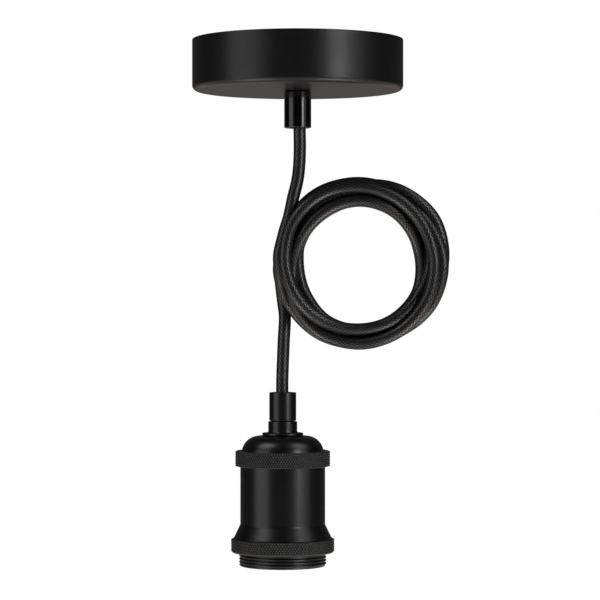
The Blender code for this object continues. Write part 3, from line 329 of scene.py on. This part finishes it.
def rounded(outline, reach, steps=4):
    """The closed outline with each sharp corner turned into a small curve."""
    points = [Vector(point) for point in outline]
    result = []
    for index, corner in enumerate(points):
        back = points[index - 1] - corner
        on = points[(index + 1) % len(points)] - corner
        if back.angle(-on) < math.radians(SMOOTH_BEND):
            result.append(corner)
            continue
        size = min(reach, ROUND_SHARE * back.length, ROUND_SHARE * on.length)
        start = corner + back.normalized() * size
        end = corner + on.normalized() * size
        for step in range(steps + 1):
            share = step / steps
            result.append(start * (1 - share) ** 2 + corner * 2 * share * (1 - share) + end * share**2)
    return result


def arc(centre, radius, start, end, steps):
    """Points on an arc in a half section, with its angles in degrees from the outward direction."""
    angles = [math.radians(start + (end - start) * step / steps) for step in range(steps + 1)]
    return [(centre[0] + radius * math.cos(a), centre[1] + radius * math.sin(a)) for a in angles]


def supported(outline):
    """The closed outline with a point near each end of every long side, which keeps its shading flat."""
    points = [Vector(point) for point in outline]
    result = []
    for index, point in enumerate(points):
        side = points[(index + 1) % len(points)] - point
        result.append(point)
        if side.length > 4 * SUPPORT:
            result.append(point + side.normalized() * SUPPORT)
            result.append(point + side - side.normalized() * SUPPORT)
    return result


def spun(name, outline, sides, centre_x=0.0, change=None):
    """A closed half section turned round an upright axis. change(radius, angle, height) gives new radii."""
    profile = np.array([tuple(point) for point in supported(outline)])
    angle = (np.arange(sides) * 2 * math.pi / sides)[:, None]
    radius = np.repeat(profile[None, :, 0], sides, axis=0)
    height = np.repeat(profile[None, :, 1], sides, axis=0)
    if change:
        radius = change(radius, angle, height)
    points = np.stack([centre_x + radius * np.cos(angle), radius * np.sin(angle), height], axis=2)
    count = len(profile)
    column = np.arange(sides)[:, None] * count
    row = np.arange(count)[None, :]
    beside = (column + count) % (sides * count)
    below = (row + 1) % count
    faces = np.stack([column + row, beside + row, beside + below, column + below], axis=2).reshape(-1, 4)
    mesh = bpy.data.meshes.new(name)
    mesh.from_pydata(points.reshape(-1, 3).tolist(), [], faces.tolist())
    shape = bmesh.new()
    shape.from_mesh(mesh)
    bmesh.ops.recalc_face_normals(shape, faces=shape.faces)
    shape.to_mesh(mesh)
    shape.free()
    mesh.shade_smooth()
    return linked(name, mesh)


def cut(piece, outline, sides, place, turn):
    """Cuts a turned shape out of a piece, and keeps the result as plain mesh."""
    shape = bmesh.new()
    columns = []
    for step in range(sides):
        angle = 2 * math.pi * step / sides
        columns.append([shape.verts.new((r * math.cos(angle), r * math.sin(angle), z)) for r, z in outline])
    for index in range(sides):
        here, beside = columns[index], columns[(index + 1) % sides]
        for low in range(len(outline) - 1):
            shape.faces.new((here[low], beside[low], beside[low + 1], here[low + 1]))
    shape.faces.new([column[0] for column in reversed(columns)])
    shape.faces.new([column[-1] for column in columns])
    bmesh.ops.recalc_face_normals(shape, faces=shape.faces)
    mesh = bpy.data.meshes.new("cutter")
    shape.to_mesh(mesh)
    shape.free()
    cutter = linked("cutter", mesh)
    cutter.location = place
    cutter.rotation_euler = turn
    modifier = piece.modifiers.new("cut", "BOOLEAN")
    modifier.object = cutter
    modifier.solver = "EXACT"
    bpy.context.view_layer.update()
    result = bpy.data.meshes.new_from_object(piece.evaluated_get(bpy.context.evaluated_depsgraph_get()))
    piece.modifiers.clear()
    piece.data = result
    bpy.data.objects.remove(cutter)
    result.set_sharp_from_angle(angle=math.radians(SHARP_CUT_EDGE))


class Look:
    """A material with a first colour and roughness, to which short calls add nodes."""

    def __init__(self, name, colour, roughness, metallic=0.0):
        self.material = bpy.data.materials.new(name)
        self.material.use_nodes = True
        self.tree = self.material.node_tree
        self.shader = self.tree.nodes["Principled BSDF"]
        self.set("Base Color", (*colour, 1.0))
        self.set("Roughness", roughness)
        self.set("Metallic", metallic)

    def set(self, socket, value):
        self.shader.inputs[socket].default_value = value

    def node(self, kind, inputs=(), **settings):
        node = self.tree.nodes.new(kind)
        for key, value in settings.items():
            setattr(node, key, value)
        for index, value in enumerate(inputs):
            if isinstance(value, bpy.types.NodeSocket):
                self.tree.links.new(value, node.inputs[index])
            elif value is not None:
                node.inputs[index].default_value = value
        return node

    def math(self, operation, *inputs):
        return self.node("ShaderNodeMath", inputs, operation=operation).outputs[0]

    def place(self):
        return self.node("ShaderNodeTexCoord").outputs["Object"]

    def section(self, centre_x):
        """Distance from an upright axis, and height, as one coordinate."""
        parts = self.node("ShaderNodeSeparateXYZ", [self.place()]).outputs
        across = self.math("SUBTRACT", parts[0], centre_x)
        squares = [self.math("MULTIPLY", part, part) for part in (across, parts[1])]
        radius = self.math("SQRT", self.math("ADD", *squares))
        return self.node("ShaderNodeCombineXYZ", [radius, None, parts[2]]).outputs[0]

    def noise(self, coordinate, scale, detail=2.0):
        node = self.node("ShaderNodeTexNoise", [coordinate])
        node.inputs["Scale"].default_value = scale
        node.inputs["Detail"].default_value = detail
        return node.outputs[0]

    def between(self, factor, low, high, start=0.3, end=0.7):
        """A value from low to high as the factor goes from start to end."""
        return self.node("ShaderNodeMapRange", [factor, start, end, low, high]).outputs[0]

    def blend(self, factor, first, second):
        node = self.node("ShaderNodeMix", data_type="RGBA")
        self.tree.links.new(factor, node.inputs["Factor"])
        for socket, colour in (("A", first), ("B", second)):
            target = next(i for i in node.inputs if i.name == socket and i.type == "RGBA")
            if isinstance(colour, bpy.types.NodeSocket):
                self.tree.links.new(colour, target)
            else:
                target.default_value = (*colour, 1.0)
        return next(o for o in node.outputs if o.type == "RGBA")

    def bump(self, height, distance, strength=1.0, under=None):
        node = self.node("ShaderNodeBump")
        node.inputs["Strength"].default_value = strength
        node.inputs["Distance"].default_value = distance
        self.tree.links.new(height, node.inputs["Height"])
        if under:
            self.tree.links.new(under, node.inputs["Normal"])
        self.tree.links.new(node.outputs[0], self.shader.inputs["Normal"])
        return node.outputs[0]

    def drive(self, socket, output):
        self.tree.links.new(output, self.shader.inputs[socket])


def powder_coat():
    """Black powder coat: a soft grain and a faint orange peel."""
    look = Look("powder_coat", (0.006, 0.006, 0.0065), 0.42)
    look.set("Specular IOR Level", 0.36)
    place = look.place()
    grain = look.noise(place, scale=1400.0, detail=3.0)
    look.drive("Base Color", look.blend(grain, (0.0025, 0.0025, 0.003), (0.0065, 0.0065, 0.007)))
    look.drive("Roughness", look.between(look.noise(place, scale=60.0), 0.33, 0.39))
    look.bump(grain, distance=0.00004, strength=0.5)
    return look.material


def satin_black():
    """Black lacquer on turned metal, with faint rings from the lathe."""
    look = Look("satin_black", (0.005, 0.005, 0.0055), 0.35)
    rings = look.noise(look.section(HOLDER_X), scale=2500.0, detail=2.0)
    grain = look.noise(look.place(), scale=1500.0, detail=2.0)
    look.drive("Base Color", look.blend(grain, (0.0018, 0.0018, 0.002), (0.004, 0.004, 0.0043)))
    look.drive("Roughness", look.between(rings, 0.29, 0.33))
    under = look.bump(rings, distance=0.000004, strength=0.3)
    look.bump(grain, distance=0.00001, strength=0.4, under=under)
    return look.material


def knurled_black():
    """The same lacquer over a knurl, with a painted highlight on its crests and painted shade in its
    grooves.
    """
    look = Look("knurled_black", (0.02, 0.02, 0.021), 0.5)
    crest = look.node("ShaderNodeAttribute", attribute_name="crest").outputs["Fac"]
    grain = look.noise(look.place(), scale=1800.0, detail=2.0)
    # Painted light and shade: the colour goes from near black in the grooves to grey on the crests
    painted_crest_light = look.math("MULTIPLY", look.between(crest, 0.0, 1.0, 0.3, 0.9), look.between(grain, 0.6, 1.0))
    look.drive("Base Color", look.blend(painted_crest_light, (0.002, 0.002, 0.002), (0.085, 0.084, 0.081)))
    look.set("Specular IOR Level", 0.25)
    look.drive("Roughness", look.between(grain, 0.32, 0.42))
    look.bump(grain, distance=0.00001, strength=0.5)
    return look.material


def gloss_plastic():
    """Glossy black moulded plastic with fine handling marks."""
    look = Look("gloss_plastic", (0.003, 0.003, 0.0032), 0.1)
    place = look.place()
    look.drive("Roughness", look.between(look.noise(place, scale=220.0, detail=4.0), 0.07, 0.14))
    cloud = look.noise(place, scale=500.0)
    look.drive("Base Color", look.blend(cloud, (0.0022, 0.0022, 0.0024), (0.0042, 0.0042, 0.0044)))
    look.bump(look.noise(place, scale=350.0), distance=0.00001, strength=0.4)
    return look.material


def black_textile():
    """Braided black textile: yarns that cross over and under each other round the cord, with painted shade
    in the gaps between them.
    """
    look = Look("black_textile", (0.008, 0.008, 0.0085), 0.45)
    uv = look.node("ShaderNodeUVMap", uv_map="UVMap").outputs[0]
    parts = look.node("ShaderNodeSeparateXYZ", [uv]).outputs
    around = look.math("MULTIPLY", parts[0], YARNS_ROUND)
    along = look.math("MULTIPLY", parts[1], 1 / YARN_PITCH)
    rising = look.math("ADD", around, along)
    falling = look.math("SUBTRACT", around, along)
    ridges = []
    for slant in (rising, falling):
        offset = look.math("SUBTRACT", look.math("FRACT", slant), 0.5)
        squared = look.math("MULTIPLY", look.math("MULTIPLY", offset, offset), 4.0)
        strand = look.math("SINE", look.math("MULTIPLY", slant, 2 * math.pi * YARN_FIBRES))
        fibre = look.math("MULTIPLY", strand, FIBRE_HEIGHT)
        ridges.append(look.math("ADD", look.math("SUBTRACT", 1.0, squared), fibre))
    cells = look.math("ADD", look.math("FLOOR", rising), look.math("FLOOR", falling))
    over = look.math("GREATER_THAN", look.math("PINGPONG", cells, 1.0), 0.5)
    height = look.node("ShaderNodeMix", [over], data_type="FLOAT")
    look.tree.links.new(ridges[0], height.inputs[2])
    look.tree.links.new(ridges[1], height.inputs[3])
    yarn = height.outputs[0]
    fuzz = look.noise(look.place(), scale=3500.0, detail=3.0)
    # Painted shade and light: the gaps between yarns are coloured near black and their crowns lighter
    crown = look.between(yarn, 0.0, 1.0, 0.35, 0.9)
    look.drive("Base Color", look.blend(crown, (0.0005, 0.0005, 0.0005), (0.014, 0.014, 0.0143)))
    look.drive("Roughness", look.between(fuzz, 0.28, 0.40))
    # The first level stands in where an export drops the linked one
    look.set("Specular IOR Level", 0.4)
    look.drive("Specular IOR Level", look.between(crown, 0.06, 0.85, 0.0, 1.0))
    under = look.bump(yarn, distance=0.00004, strength=1.0)
    look.bump(fuzz, distance=0.00001, strength=0.5, under=under)
    return look.material


def metal(name, colour, roughness, spangle=300.0):
    """Plated or bare metal with a cloudy finish and fine rubbing marks."""
    look = Look(name, colour, roughness, 1.0)
    place = look.place()
    cloud = look.noise(place, scale=spangle, detail=3.0)
    darker = tuple(0.82 * part for part in colour)
    look.drive("Base Color", look.blend(look.between(cloud, 0.0, 1.0), darker, colour))
    rubbed = look.noise(place, scale=1200.0, detail=2.0)
    look.drive("Roughness", look.between(rubbed, roughness - 0.07, roughness + 0.09))
    look.bump(look.noise(place, scale=2500.0, detail=2.0), distance=0.000008, strength=0.5)
    return look.material


def screw_black():
    """Blackened steel with a slightly rubbed surface."""
    look = Look("black_screw", (0.02, 0.02, 0.022), 0.38, 0.6)
    place = look.place()
    rubbed = look.between(look.noise(place, scale=900.0, detail=3.0), 0.0, 1.0, 0.45, 0.7)
    look.drive("Base Color", look.blend(rubbed, (0.015, 0.015, 0.017), (0.05, 0.05, 0.053)))
    look.drive("Roughness", look.between(rubbed, 0.33, 0.45, 0.0, 1.0))
    look.bump(look.noise(place, scale=2500.0), distance=0.000006, strength=0.5)
    return look.material


def nylon():
    """Off-white moulded nylon, slightly translucent with a fine texture."""
    look = Look("nylon", (0.70, 0.69, 0.64), 0.45)
    place = look.place()
    look.set("Subsurface Weight", 0.15)
    look.set("Subsurface Scale", 0.002)
    cloud = look.noise(place, scale=250.0)
    look.drive("Base Color", look.blend(cloud, (0.66, 0.65, 0.59), (0.74, 0.73, 0.69)))
    look.drive("Roughness", look.between(look.noise(place, scale=800.0), 0.4, 0.52))
    look.bump(look.noise(place, scale=1600.0), distance=0.00001, strength=0.4)
    return look.material


def ceramic():
    """White glazed ceramic with a faint mottle and small pits."""
    look = Look("ceramic", (0.80, 0.78, 0.73), 0.22)
    place = look.place()
    mottle = look.noise(place, scale=180.0, detail=3.0)
    look.drive("Base Color", look.blend(mottle, (0.74, 0.72, 0.66), (0.85, 0.83, 0.79)))
    look.drive("Roughness", look.between(look.noise(place, scale=500.0), 0.15, 0.32))
    look.bump(look.noise(place, scale=700.0, detail=3.0), distance=0.00003, strength=0.35)
    return look.material


def insulation(name, colour, stripe=None):
    """Smooth core insulation, with a lengthwise stripe where it has a second colour."""
    look = Look(name, colour, 0.4)
    place = look.place()
    darker = tuple(0.75 * part for part in colour)
    shade = look.blend(look.noise(place, scale=600.0), darker, colour)
    if stripe:
        normal = look.node("ShaderNodeTexCoord").outputs["Normal"]
        facing = look.node("ShaderNodeSeparateXYZ", [normal]).outputs
        band = look.between(facing[1], 0.0, 1.0, 0.15, 0.25)
        shade = look.blend(band, shade, stripe)
    look.drive("Base Color", shade)
    look.drive("Roughness", look.between(look.noise(place, scale=900.0), 0.34, 0.46))
    look.bump(look.noise(place, scale=1500.0), distance=0.00001, strength=0.3)
    return look.material


def finish_piece(piece, material, slot, *nodes):
    """Gives a piece its material, and lets it ride and stand for its CAD nodes."""
    piece.data.materials.clear()
    piece.data.materials.append(material)
    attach(piece, "root")
    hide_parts(*nodes)


def dress(material, *names):
    """Gives CAD nodes that keep their shape a better material."""
    for name in names:
        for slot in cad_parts[name].material_slots:
            slot.material = material


def make_cord(look):
    path = cord_centreline()
    piece = tube("cord", path, CORD_DIAMETER / 2, CORD_SIDES)
    finish_piece(piece, look, "black_textile", "cord_upper", "cord_coil", "cord_lower")


def set_screw_hole(piece, screw, axis_x):
    """Cuts the hole of a set screw from the bore to the back, with room round the screw."""
    low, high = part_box(screw)
    middle = (low + high) / 2
    radius = (high.x - low.x) / 2 + GAP
    hole = [(radius, 0.0), (radius, SET_SCREW_DEPTH)]
    cut(piece, hole, sides=48, place=(axis_x, 0.0, middle.z), turn=(-math.pi / 2, 0.0, 0.0))


def make_canopy(look):
    low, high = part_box("canopy")
    radius, bottom = high.x, low.z
    inner = radius - CUP_WALL
    floor = bottom + CUP_WALL
    small = CUP_EDGE - CUP_WALL
    outline = [
        (STUD_HOLE, floor),
        (STUD_HOLE, bottom),
        *arc((radius - CUP_EDGE, bottom + CUP_EDGE), CUP_EDGE, start=-90, end=0, steps=12),
        (radius, 0.0),
        (inner, 0.0),
        *arc((inner - small, floor + small), small, start=0, end=-90, steps=8),
    ]
    piece = spun("canopy_cup", rounded(outline, reach=0.00025), sides=192)
    for name, side in (("canopy_screw_left", -1), ("canopy_screw_right", 1)):
        screw_low, screw_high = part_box(name)
        head = (screw_high.z - screw_low.z) / 2
        face = screw_high.x if side > 0 else screw_low.x
        middle = (screw_low.z + screw_high.z) / 2
        narrow, wide = head / 2 + GAP, head + GAP
        cone = [(narrow, -SINK_DEPTH), (narrow, -head / 2), (wide, 0.0), (wide, SINK_SPARE)]
        cut(piece, cone, sides=48, place=(face, 0.0, middle), turn=(0.0, side * math.pi / 2, 0.0))
    finish_piece(piece, look, "powder_coat", "canopy")


def make_upper_grip(look):
    low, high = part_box("upper_grip")
    top, bottom, radius = high.z, low.z, high.x
    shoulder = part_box("canopy")[0].z - GAP
    bore = CORD_DIAMETER / 2 + CORD_LEAN_ROOM
    outline = [
        (CORD_BORE, top),
        (STUD_RADIUS, top),
        (STUD_RADIUS, shoulder),
        (radius, shoulder),
        (radius, bottom),
        (bore, bottom),
        (bore, shoulder),
        (CORD_BORE, shoulder + CORD_LEAN_ROOM),
    ]
    piece = spun("upper_cord_grip", rounded(outline, reach=0.0005, steps=6), sides=96)
    set_screw_hole(piece, "upper_grip_screw", 0.0)
    finish_piece(piece, look, "gloss_plastic", "upper_grip")


def make_lower_grip(look):
    low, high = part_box("lower_grip")
    top, bottom = high.z, low.z
    radius = (high.x - low.x) / 2
    thread_top = bottom + LOWER_GRIP_THREAD
    outline = [
        (CORD_BORE, top),
        (radius, top),
        (radius, bottom),
        (STUD_HOLE, bottom),
        (STUD_HOLE, thread_top),
        (CORD_BORE, thread_top),
    ]
    piece = spun("lower_cord_grip", rounded(outline, reach=0.0006, steps=6), sides=96, centre_x=HOLDER_X)
    set_screw_hole(piece, "lower_grip_screw", HOLDER_X)
    finish_piece(piece, look, "satin_black", "lower_grip")


def make_neck(look):
    low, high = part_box("neck_bush")
    neck_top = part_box("lower_grip")[0].z - GAP
    flange_top = neck_top - NECK_LENGTH
    flange_bottom = flange_top - FLANGE_THICKNESS
    flange = (high.x - low.x) / 2
    corner = (NECK_RADIUS + NECK_FILLET, flange_top + NECK_FILLET)
    outline = [
        (CORD_BORE, high.z),
        (STUD_RADIUS, high.z),
        (STUD_RADIUS, neck_top),
        (NECK_RADIUS, neck_top),
        *arc(corner, NECK_FILLET, start=180, end=270, steps=8),
        (flange, flange_top),
        (flange, flange_bottom),
        (STUD_RADIUS, flange_bottom),
        (STUD_RADIUS, low.z),
        (CORD_BORE, low.z),
    ]
    piece = spun("neck", rounded(outline, reach=0.0003), sides=96, centre_x=HOLDER_X)
    finish_piece(piece, look, "satin_black", "neck_bush")


def make_cap(look):
    low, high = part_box("dome_cap")
    rim = (high.x - low.x) / 2
    top, bottom = high.z, low.z
    rim_top = bottom + CAP_RIM
    wide = rim - CAP_STEP
    flat = wide - CAP_SHOULDER
    mouth = rim - CAP_RIM_WIDTH

    def dome(radius, peak, steps):
        angles = [math.radians(90 * step / steps) for step in range(steps, -1, -1)]
        across, up = radius - flat, peak - rim_top
        return [(flat + across * math.cos(a), rim_top + up * math.sin(a)) for a in angles]

    outline = [
        (STUD_HOLE, top),
        *dome(wide, top, steps=20),
        (rim, rim_top),
        (rim, bottom),
        (mouth, bottom),
        *reversed(dome(mouth, top - CAP_WALL, steps=16)),
        (STUD_HOLE, top - CAP_WALL),
    ]
    piece = spun("domed_cap", rounded(outline, reach=0.0002, steps=3), sides=160, centre_x=HOLDER_X)
    finish_piece(piece, look, "satin_black", "dome_cap")


def knurled(name, outline, radius, top, bottom, look, node):
    """A ring whose outer face is a grid of small pyramids, with a crest value that the material paints
    lighter.
    """
    rows = round((top - bottom) / (KNURL_RISE / KNURL_ROWS))
    heights = [top + (bottom - top) * row / rows for row in range(rows + 1)]
    start = next(index for index, point in enumerate(outline) if point == "face")
    filled = [*outline[:start], *[(radius, height) for height in heights], *outline[start + 1 :]]

    def pyramid(angle, height):
        turns = angle * KNURL_TEETH / (2 * math.pi)
        rise = (height - bottom) / KNURL_RISE
        first = np.abs((turns + rise) % 1.0 - 0.5) * 2
        second = np.abs((turns - rise) % 1.0 - 0.5) * 2
        return np.minimum(first, second)

    def change(radii, angle, height):
        face = np.abs(radii - radius) < ON_FACE
        return np.where(face, radii - KNURL_DEPTH * (1 - pyramid(angle, height)), radii)

    sides = KNURL_COLUMNS * KNURL_TEETH
    piece = spun(name, filled, sides, HOLDER_X, change)
    crest = piece.data.attributes.new("crest", "FLOAT", "POINT")
    profile = np.array([tuple(point) for point in supported(filled)])
    angle = (np.arange(sides) * 2 * math.pi / sides)[:, None]
    face = profile[None, :, 0] >= radius - ON_FACE
    # The crest value colours the ring: painted highlight on the crests, and a fixed painted light level on
    # the smooth parts
    values = np.where(face, pyramid(angle, profile[None, :, 1]), SMOOTH_PAINTED_LIGHT)
    crest.data.foreach_set("value", values.astype(np.float32).ravel())
    finish_piece(piece, look, "knurled_black", node)


def make_upper_ring(look):
    low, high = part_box("upper_ring")
    radius = (high.x - low.x) / 2
    top, bottom = high.z, low.z
    body = radius - UPPER_RING_WALL
    lip = body - CAP_STEP + GAP
    outline = [
        (lip, top),
        (radius - KNURL_DEPTH - RING_EDGE, top),
        (radius - KNURL_DEPTH, top - RING_EDGE / 2),
        "face",
        (radius - KNURL_DEPTH, bottom + RING_EDGE / 2),
        (radius - KNURL_DEPTH - RING_EDGE, bottom),
        (body + GAP, bottom),
        (body + GAP, top - RING_LIP),
        (lip, top - RING_LIP),
    ]
    knurled("knurled_upper_ring", outline, radius, top - RING_EDGE, bottom + RING_EDGE, look, "upper_ring")


def make_shade_ring(look):
    low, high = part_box("shade_ring")
    radius = (high.x - low.x) / 2
    top, bottom = high.z, low.z
    bore = radius - SHADE_RING_WALL + GAP
    face_bottom = bottom + SHADE_RING_CHAMFER
    outline = [
        (bore, top),
        (radius - KNURL_DEPTH - RING_EDGE, top),
        (radius - KNURL_DEPTH, top - RING_EDGE / 2),
        "face",
        (radius - KNURL_DEPTH, face_bottom - RING_EDGE / 2),
        (radius - SHADE_RING_CHAMFER, bottom),
        (bore, bottom),
    ]
    knurled("knurled_shade_ring", outline, radius, top - RING_EDGE, face_bottom, look, "shade_ring")


def make_body(look):
    low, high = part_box("body_shell")
    top, bottom = high.z, low.z
    ring_low, ring_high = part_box("upper_ring")
    radius = (ring_high.x - ring_low.x) / 2 - UPPER_RING_WALL
    bore = radius - BODY_WALL
    flare = (high.x - low.x) / 2
    flare_bottom = bottom + THREAD_LENGTH
    flare_top = flare_bottom + FLARE_HEIGHT
    root = radius + THREAD_STEP - THREAD_DEPTH
    lip, lip_top = bore - BODY_LIP_REACH, bottom + BODY_LIP
    rows = round((flare_bottom - bottom) / THREAD_FINENESS)
    thread = [(root, flare_bottom + (bottom - flare_bottom) * row / rows) for row in range(1, rows)]
    outline = [
        (bore, top),
        (radius, top),
        (radius, flare_top),
        (flare, flare_bottom + FLARE_EDGE),
        (flare, flare_bottom),
        (root, flare_bottom),
        *thread,
        (root, bottom),
        (lip, bottom),
        (lip, lip_top),
        (bore, lip_top),
    ]

    def change(radii, angle, height):
        on_thread = (np.abs(radii - root) < ON_THREAD) & (height < flare_bottom) & (height > bottom)
        turns = (flare_bottom - height) / THREAD_PITCH - angle / (2 * math.pi)
        wave = 0.5 + 0.5 * np.cos(2 * math.pi * turns)
        fade = np.clip((height - bottom) / THREAD_RUNOUT, 0, 1)
        crest = THREAD_DEPTH * wave**THREAD_FULLNESS * fade
        return np.where(on_thread, root - THREAD_DEPTH / 2 * (1 - fade) + crest, radii)

    piece = spun("threaded_body", rounded(outline, reach=0.0004), 192, HOLDER_X, change)
    finish_piece(piece, look, "satin_black", "body_shell")


def make_studio():
    """A pale floor far below, softboxes in front on both sides, and a world that is white to the camera."""
    mesh = bpy.data.meshes.new("floor")
    signs = ((-1, -1), (1, -1), (1, 1), (-1, 1))
    corners = [(FLOOR_REACH * x, FLOOR_REACH * y, FLOOR_LEVEL) for x, y in signs]
    mesh.from_pydata(corners, [], [(0, 1, 2, 3)])
    floor = linked("floor", mesh)
    look = Look("floor", (0.85, 0.85, 0.84), 0.8)
    grain = look.noise(look.place(), scale=3.0)
    look.drive("Base Color", look.blend(grain, (0.84, 0.84, 0.835), (0.87, 0.87, 0.865)))
    paths = look.node("ShaderNodeLightPath").outputs
    seen = look.math("MAXIMUM", paths["Is Camera Ray"], paths["Is Glossy Ray"])
    pale = look.node("ShaderNodeEmission")
    warmth = look.blend(paths["Is Glossy Ray"], (1.0, 1.0, 1.0), (1.0, 0.88, 0.81))
    look.tree.links.new(warmth, pale.inputs["Color"])
    pale.inputs["Strength"].default_value = 0.95
    mix = look.node("ShaderNodeMixShader")
    look.tree.links.new(look.math("MULTIPLY", seen, FLOOR_GLOW), mix.inputs[0])
    look.tree.links.new(look.shader.outputs[0], mix.inputs[1])
    look.tree.links.new(pale.outputs[0], mix.inputs[2])
    look.tree.links.new(mix.outputs[0], look.tree.nodes["Material Output"].inputs[0])
    mesh.materials.append(look.material)

    centre = Vector(STUDIO_CENTRE)
    for name, azimuth, elevation, width, tall, radiance in SOFTBOXES:
        light = bpy.data.lights.new(name, "AREA")
        light.shape = "RECTANGLE"
        light.size = width
        light.size_y = tall
        light.energy = radiance * math.pi * width * tall
        lamp = bpy.data.objects.new(name, light)
        turn, rise = math.radians(azimuth), math.radians(elevation)
        away = Vector((math.sin(turn) * math.cos(rise), -math.cos(turn) * math.cos(rise), math.sin(rise)))
        lamp.location = centre + SOFTBOX_DISTANCE * away
        lamp.rotation_euler = (-away).to_track_quat("-Z", "Y").to_euler()
        lamp.visible_camera = False
        bpy.context.scene.collection.objects.link(lamp)

    world = bpy.data.worlds.new("studio")
    bpy.context.scene.world = world
    world.use_nodes = True
    tree = world.node_tree
    tree.nodes.clear()
    output = tree.nodes.new("ShaderNodeOutputWorld")
    white = tree.nodes.new("ShaderNodeBackground")
    white.inputs["Color"].default_value = (1.0, 1.0, 1.0, 1.0)
    white.inputs["Strength"].default_value = 1.0
    room = tree.nodes.new("ShaderNodeBackground")
    direction = tree.nodes.new("ShaderNodeSeparateXYZ")
    coordinate = tree.nodes.new("ShaderNodeTexCoord")
    tree.links.new(coordinate.outputs["Generated"], direction.inputs[0])
    behind = tree.nodes.new("ShaderNodeMapRange")
    behind.interpolation_type = "SMOOTHSTEP"
    for socket, value in (("From Min", 0.3), ("From Max", 0.9), ("To Min", 0.012), ("To Max", 0.08)):
        behind.inputs[socket].default_value = value
    tree.links.new(direction.outputs[1], behind.inputs[0])
    tree.links.new(behind.outputs[0], room.inputs["Strength"])
    paths = tree.nodes.new("ShaderNodeLightPath")
    mix = tree.nodes.new("ShaderNodeMixShader")
    tree.links.new(paths.outputs["Is Camera Ray"], mix.inputs[0])
    tree.links.new(room.outputs[0], mix.inputs[1])
    tree.links.new(white.outputs[0], mix.inputs[2])
    tree.links.new(mix.outputs[0], output.inputs[0])


def make_camera():
    camera = bpy.data.objects.new("camera", bpy.data.cameras.new("camera"))
    camera.data.lens = CAMERA_LENS
    camera.data.sensor_width = SENSOR_WIDTH
    camera.location = CAMERA_PLACE
    camera.rotation_euler = (math.pi / 2, 0.0, 0.0)
    bpy.context.scene.collection.objects.link(camera)
    bpy.context.scene.camera = camera


def main():
    bpy.context.scene.view_settings.view_transform = "Standard"
    make_camera()
    make_cord(black_textile())
    plastic = gloss_plastic()
    satin = satin_black()
    knurl = knurled_black()
    make_canopy(powder_coat())
    make_upper_grip(plastic)
    make_lower_grip(satin)
    make_neck(satin)
    make_cap(satin)
    make_upper_ring(knurl)
    make_body(satin)
    make_shade_ring(knurl)
    zinc = metal("zinc_steel", (0.62, 0.63, 0.66), 0.34)
    brass = metal("brass", (0.80, 0.58, 0.27), 0.28, 200.0)
    nickel = metal("nickel", (0.66, 0.63, 0.58), 0.24, 200.0)
    dress(zinc, "ceiling_bracket", "upper_washer", "upper_locknut", "terminal_block_screw", "cap_nut")
    dress(screw_black(), "canopy_screw_left", "canopy_screw_right", "lower_grip_screw")
    dress(plastic, "upper_grip_screw")
    dress(brass, *[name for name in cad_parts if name.startswith(("clamp_screw", "shell_rivet"))])
    dress(brass, *[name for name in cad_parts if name.startswith(("terminal_tube", "terminal_plate"))])
    dress(brass, "ceiling_earth_screw", "centre_contact", "contact_rivet", "holder_earth_screw")
    dress(brass, "terminal_screw_live", "terminal_screw_neutral")
    dress(nickel, "ceiling_earth_lug", "screw_shell", "holder_earth_tag")
    dress(nylon(), "terminal_block")
    dress(ceramic(), "insert")
    dress(insulation("live_brown", (0.16, 0.06, 0.025)), "upper_core_live", "lower_core_live")
    dress(insulation("neutral_blue", (0.03, 0.12, 0.42)), "upper_core_neutral", "lower_core_neutral")
    earth = insulation("earth_green", (0.05, 0.28, 0.06), (0.75, 0.62, 0.05))
    dress(earth, "upper_core_earth", "lower_core_earth")
    make_studio()


main()
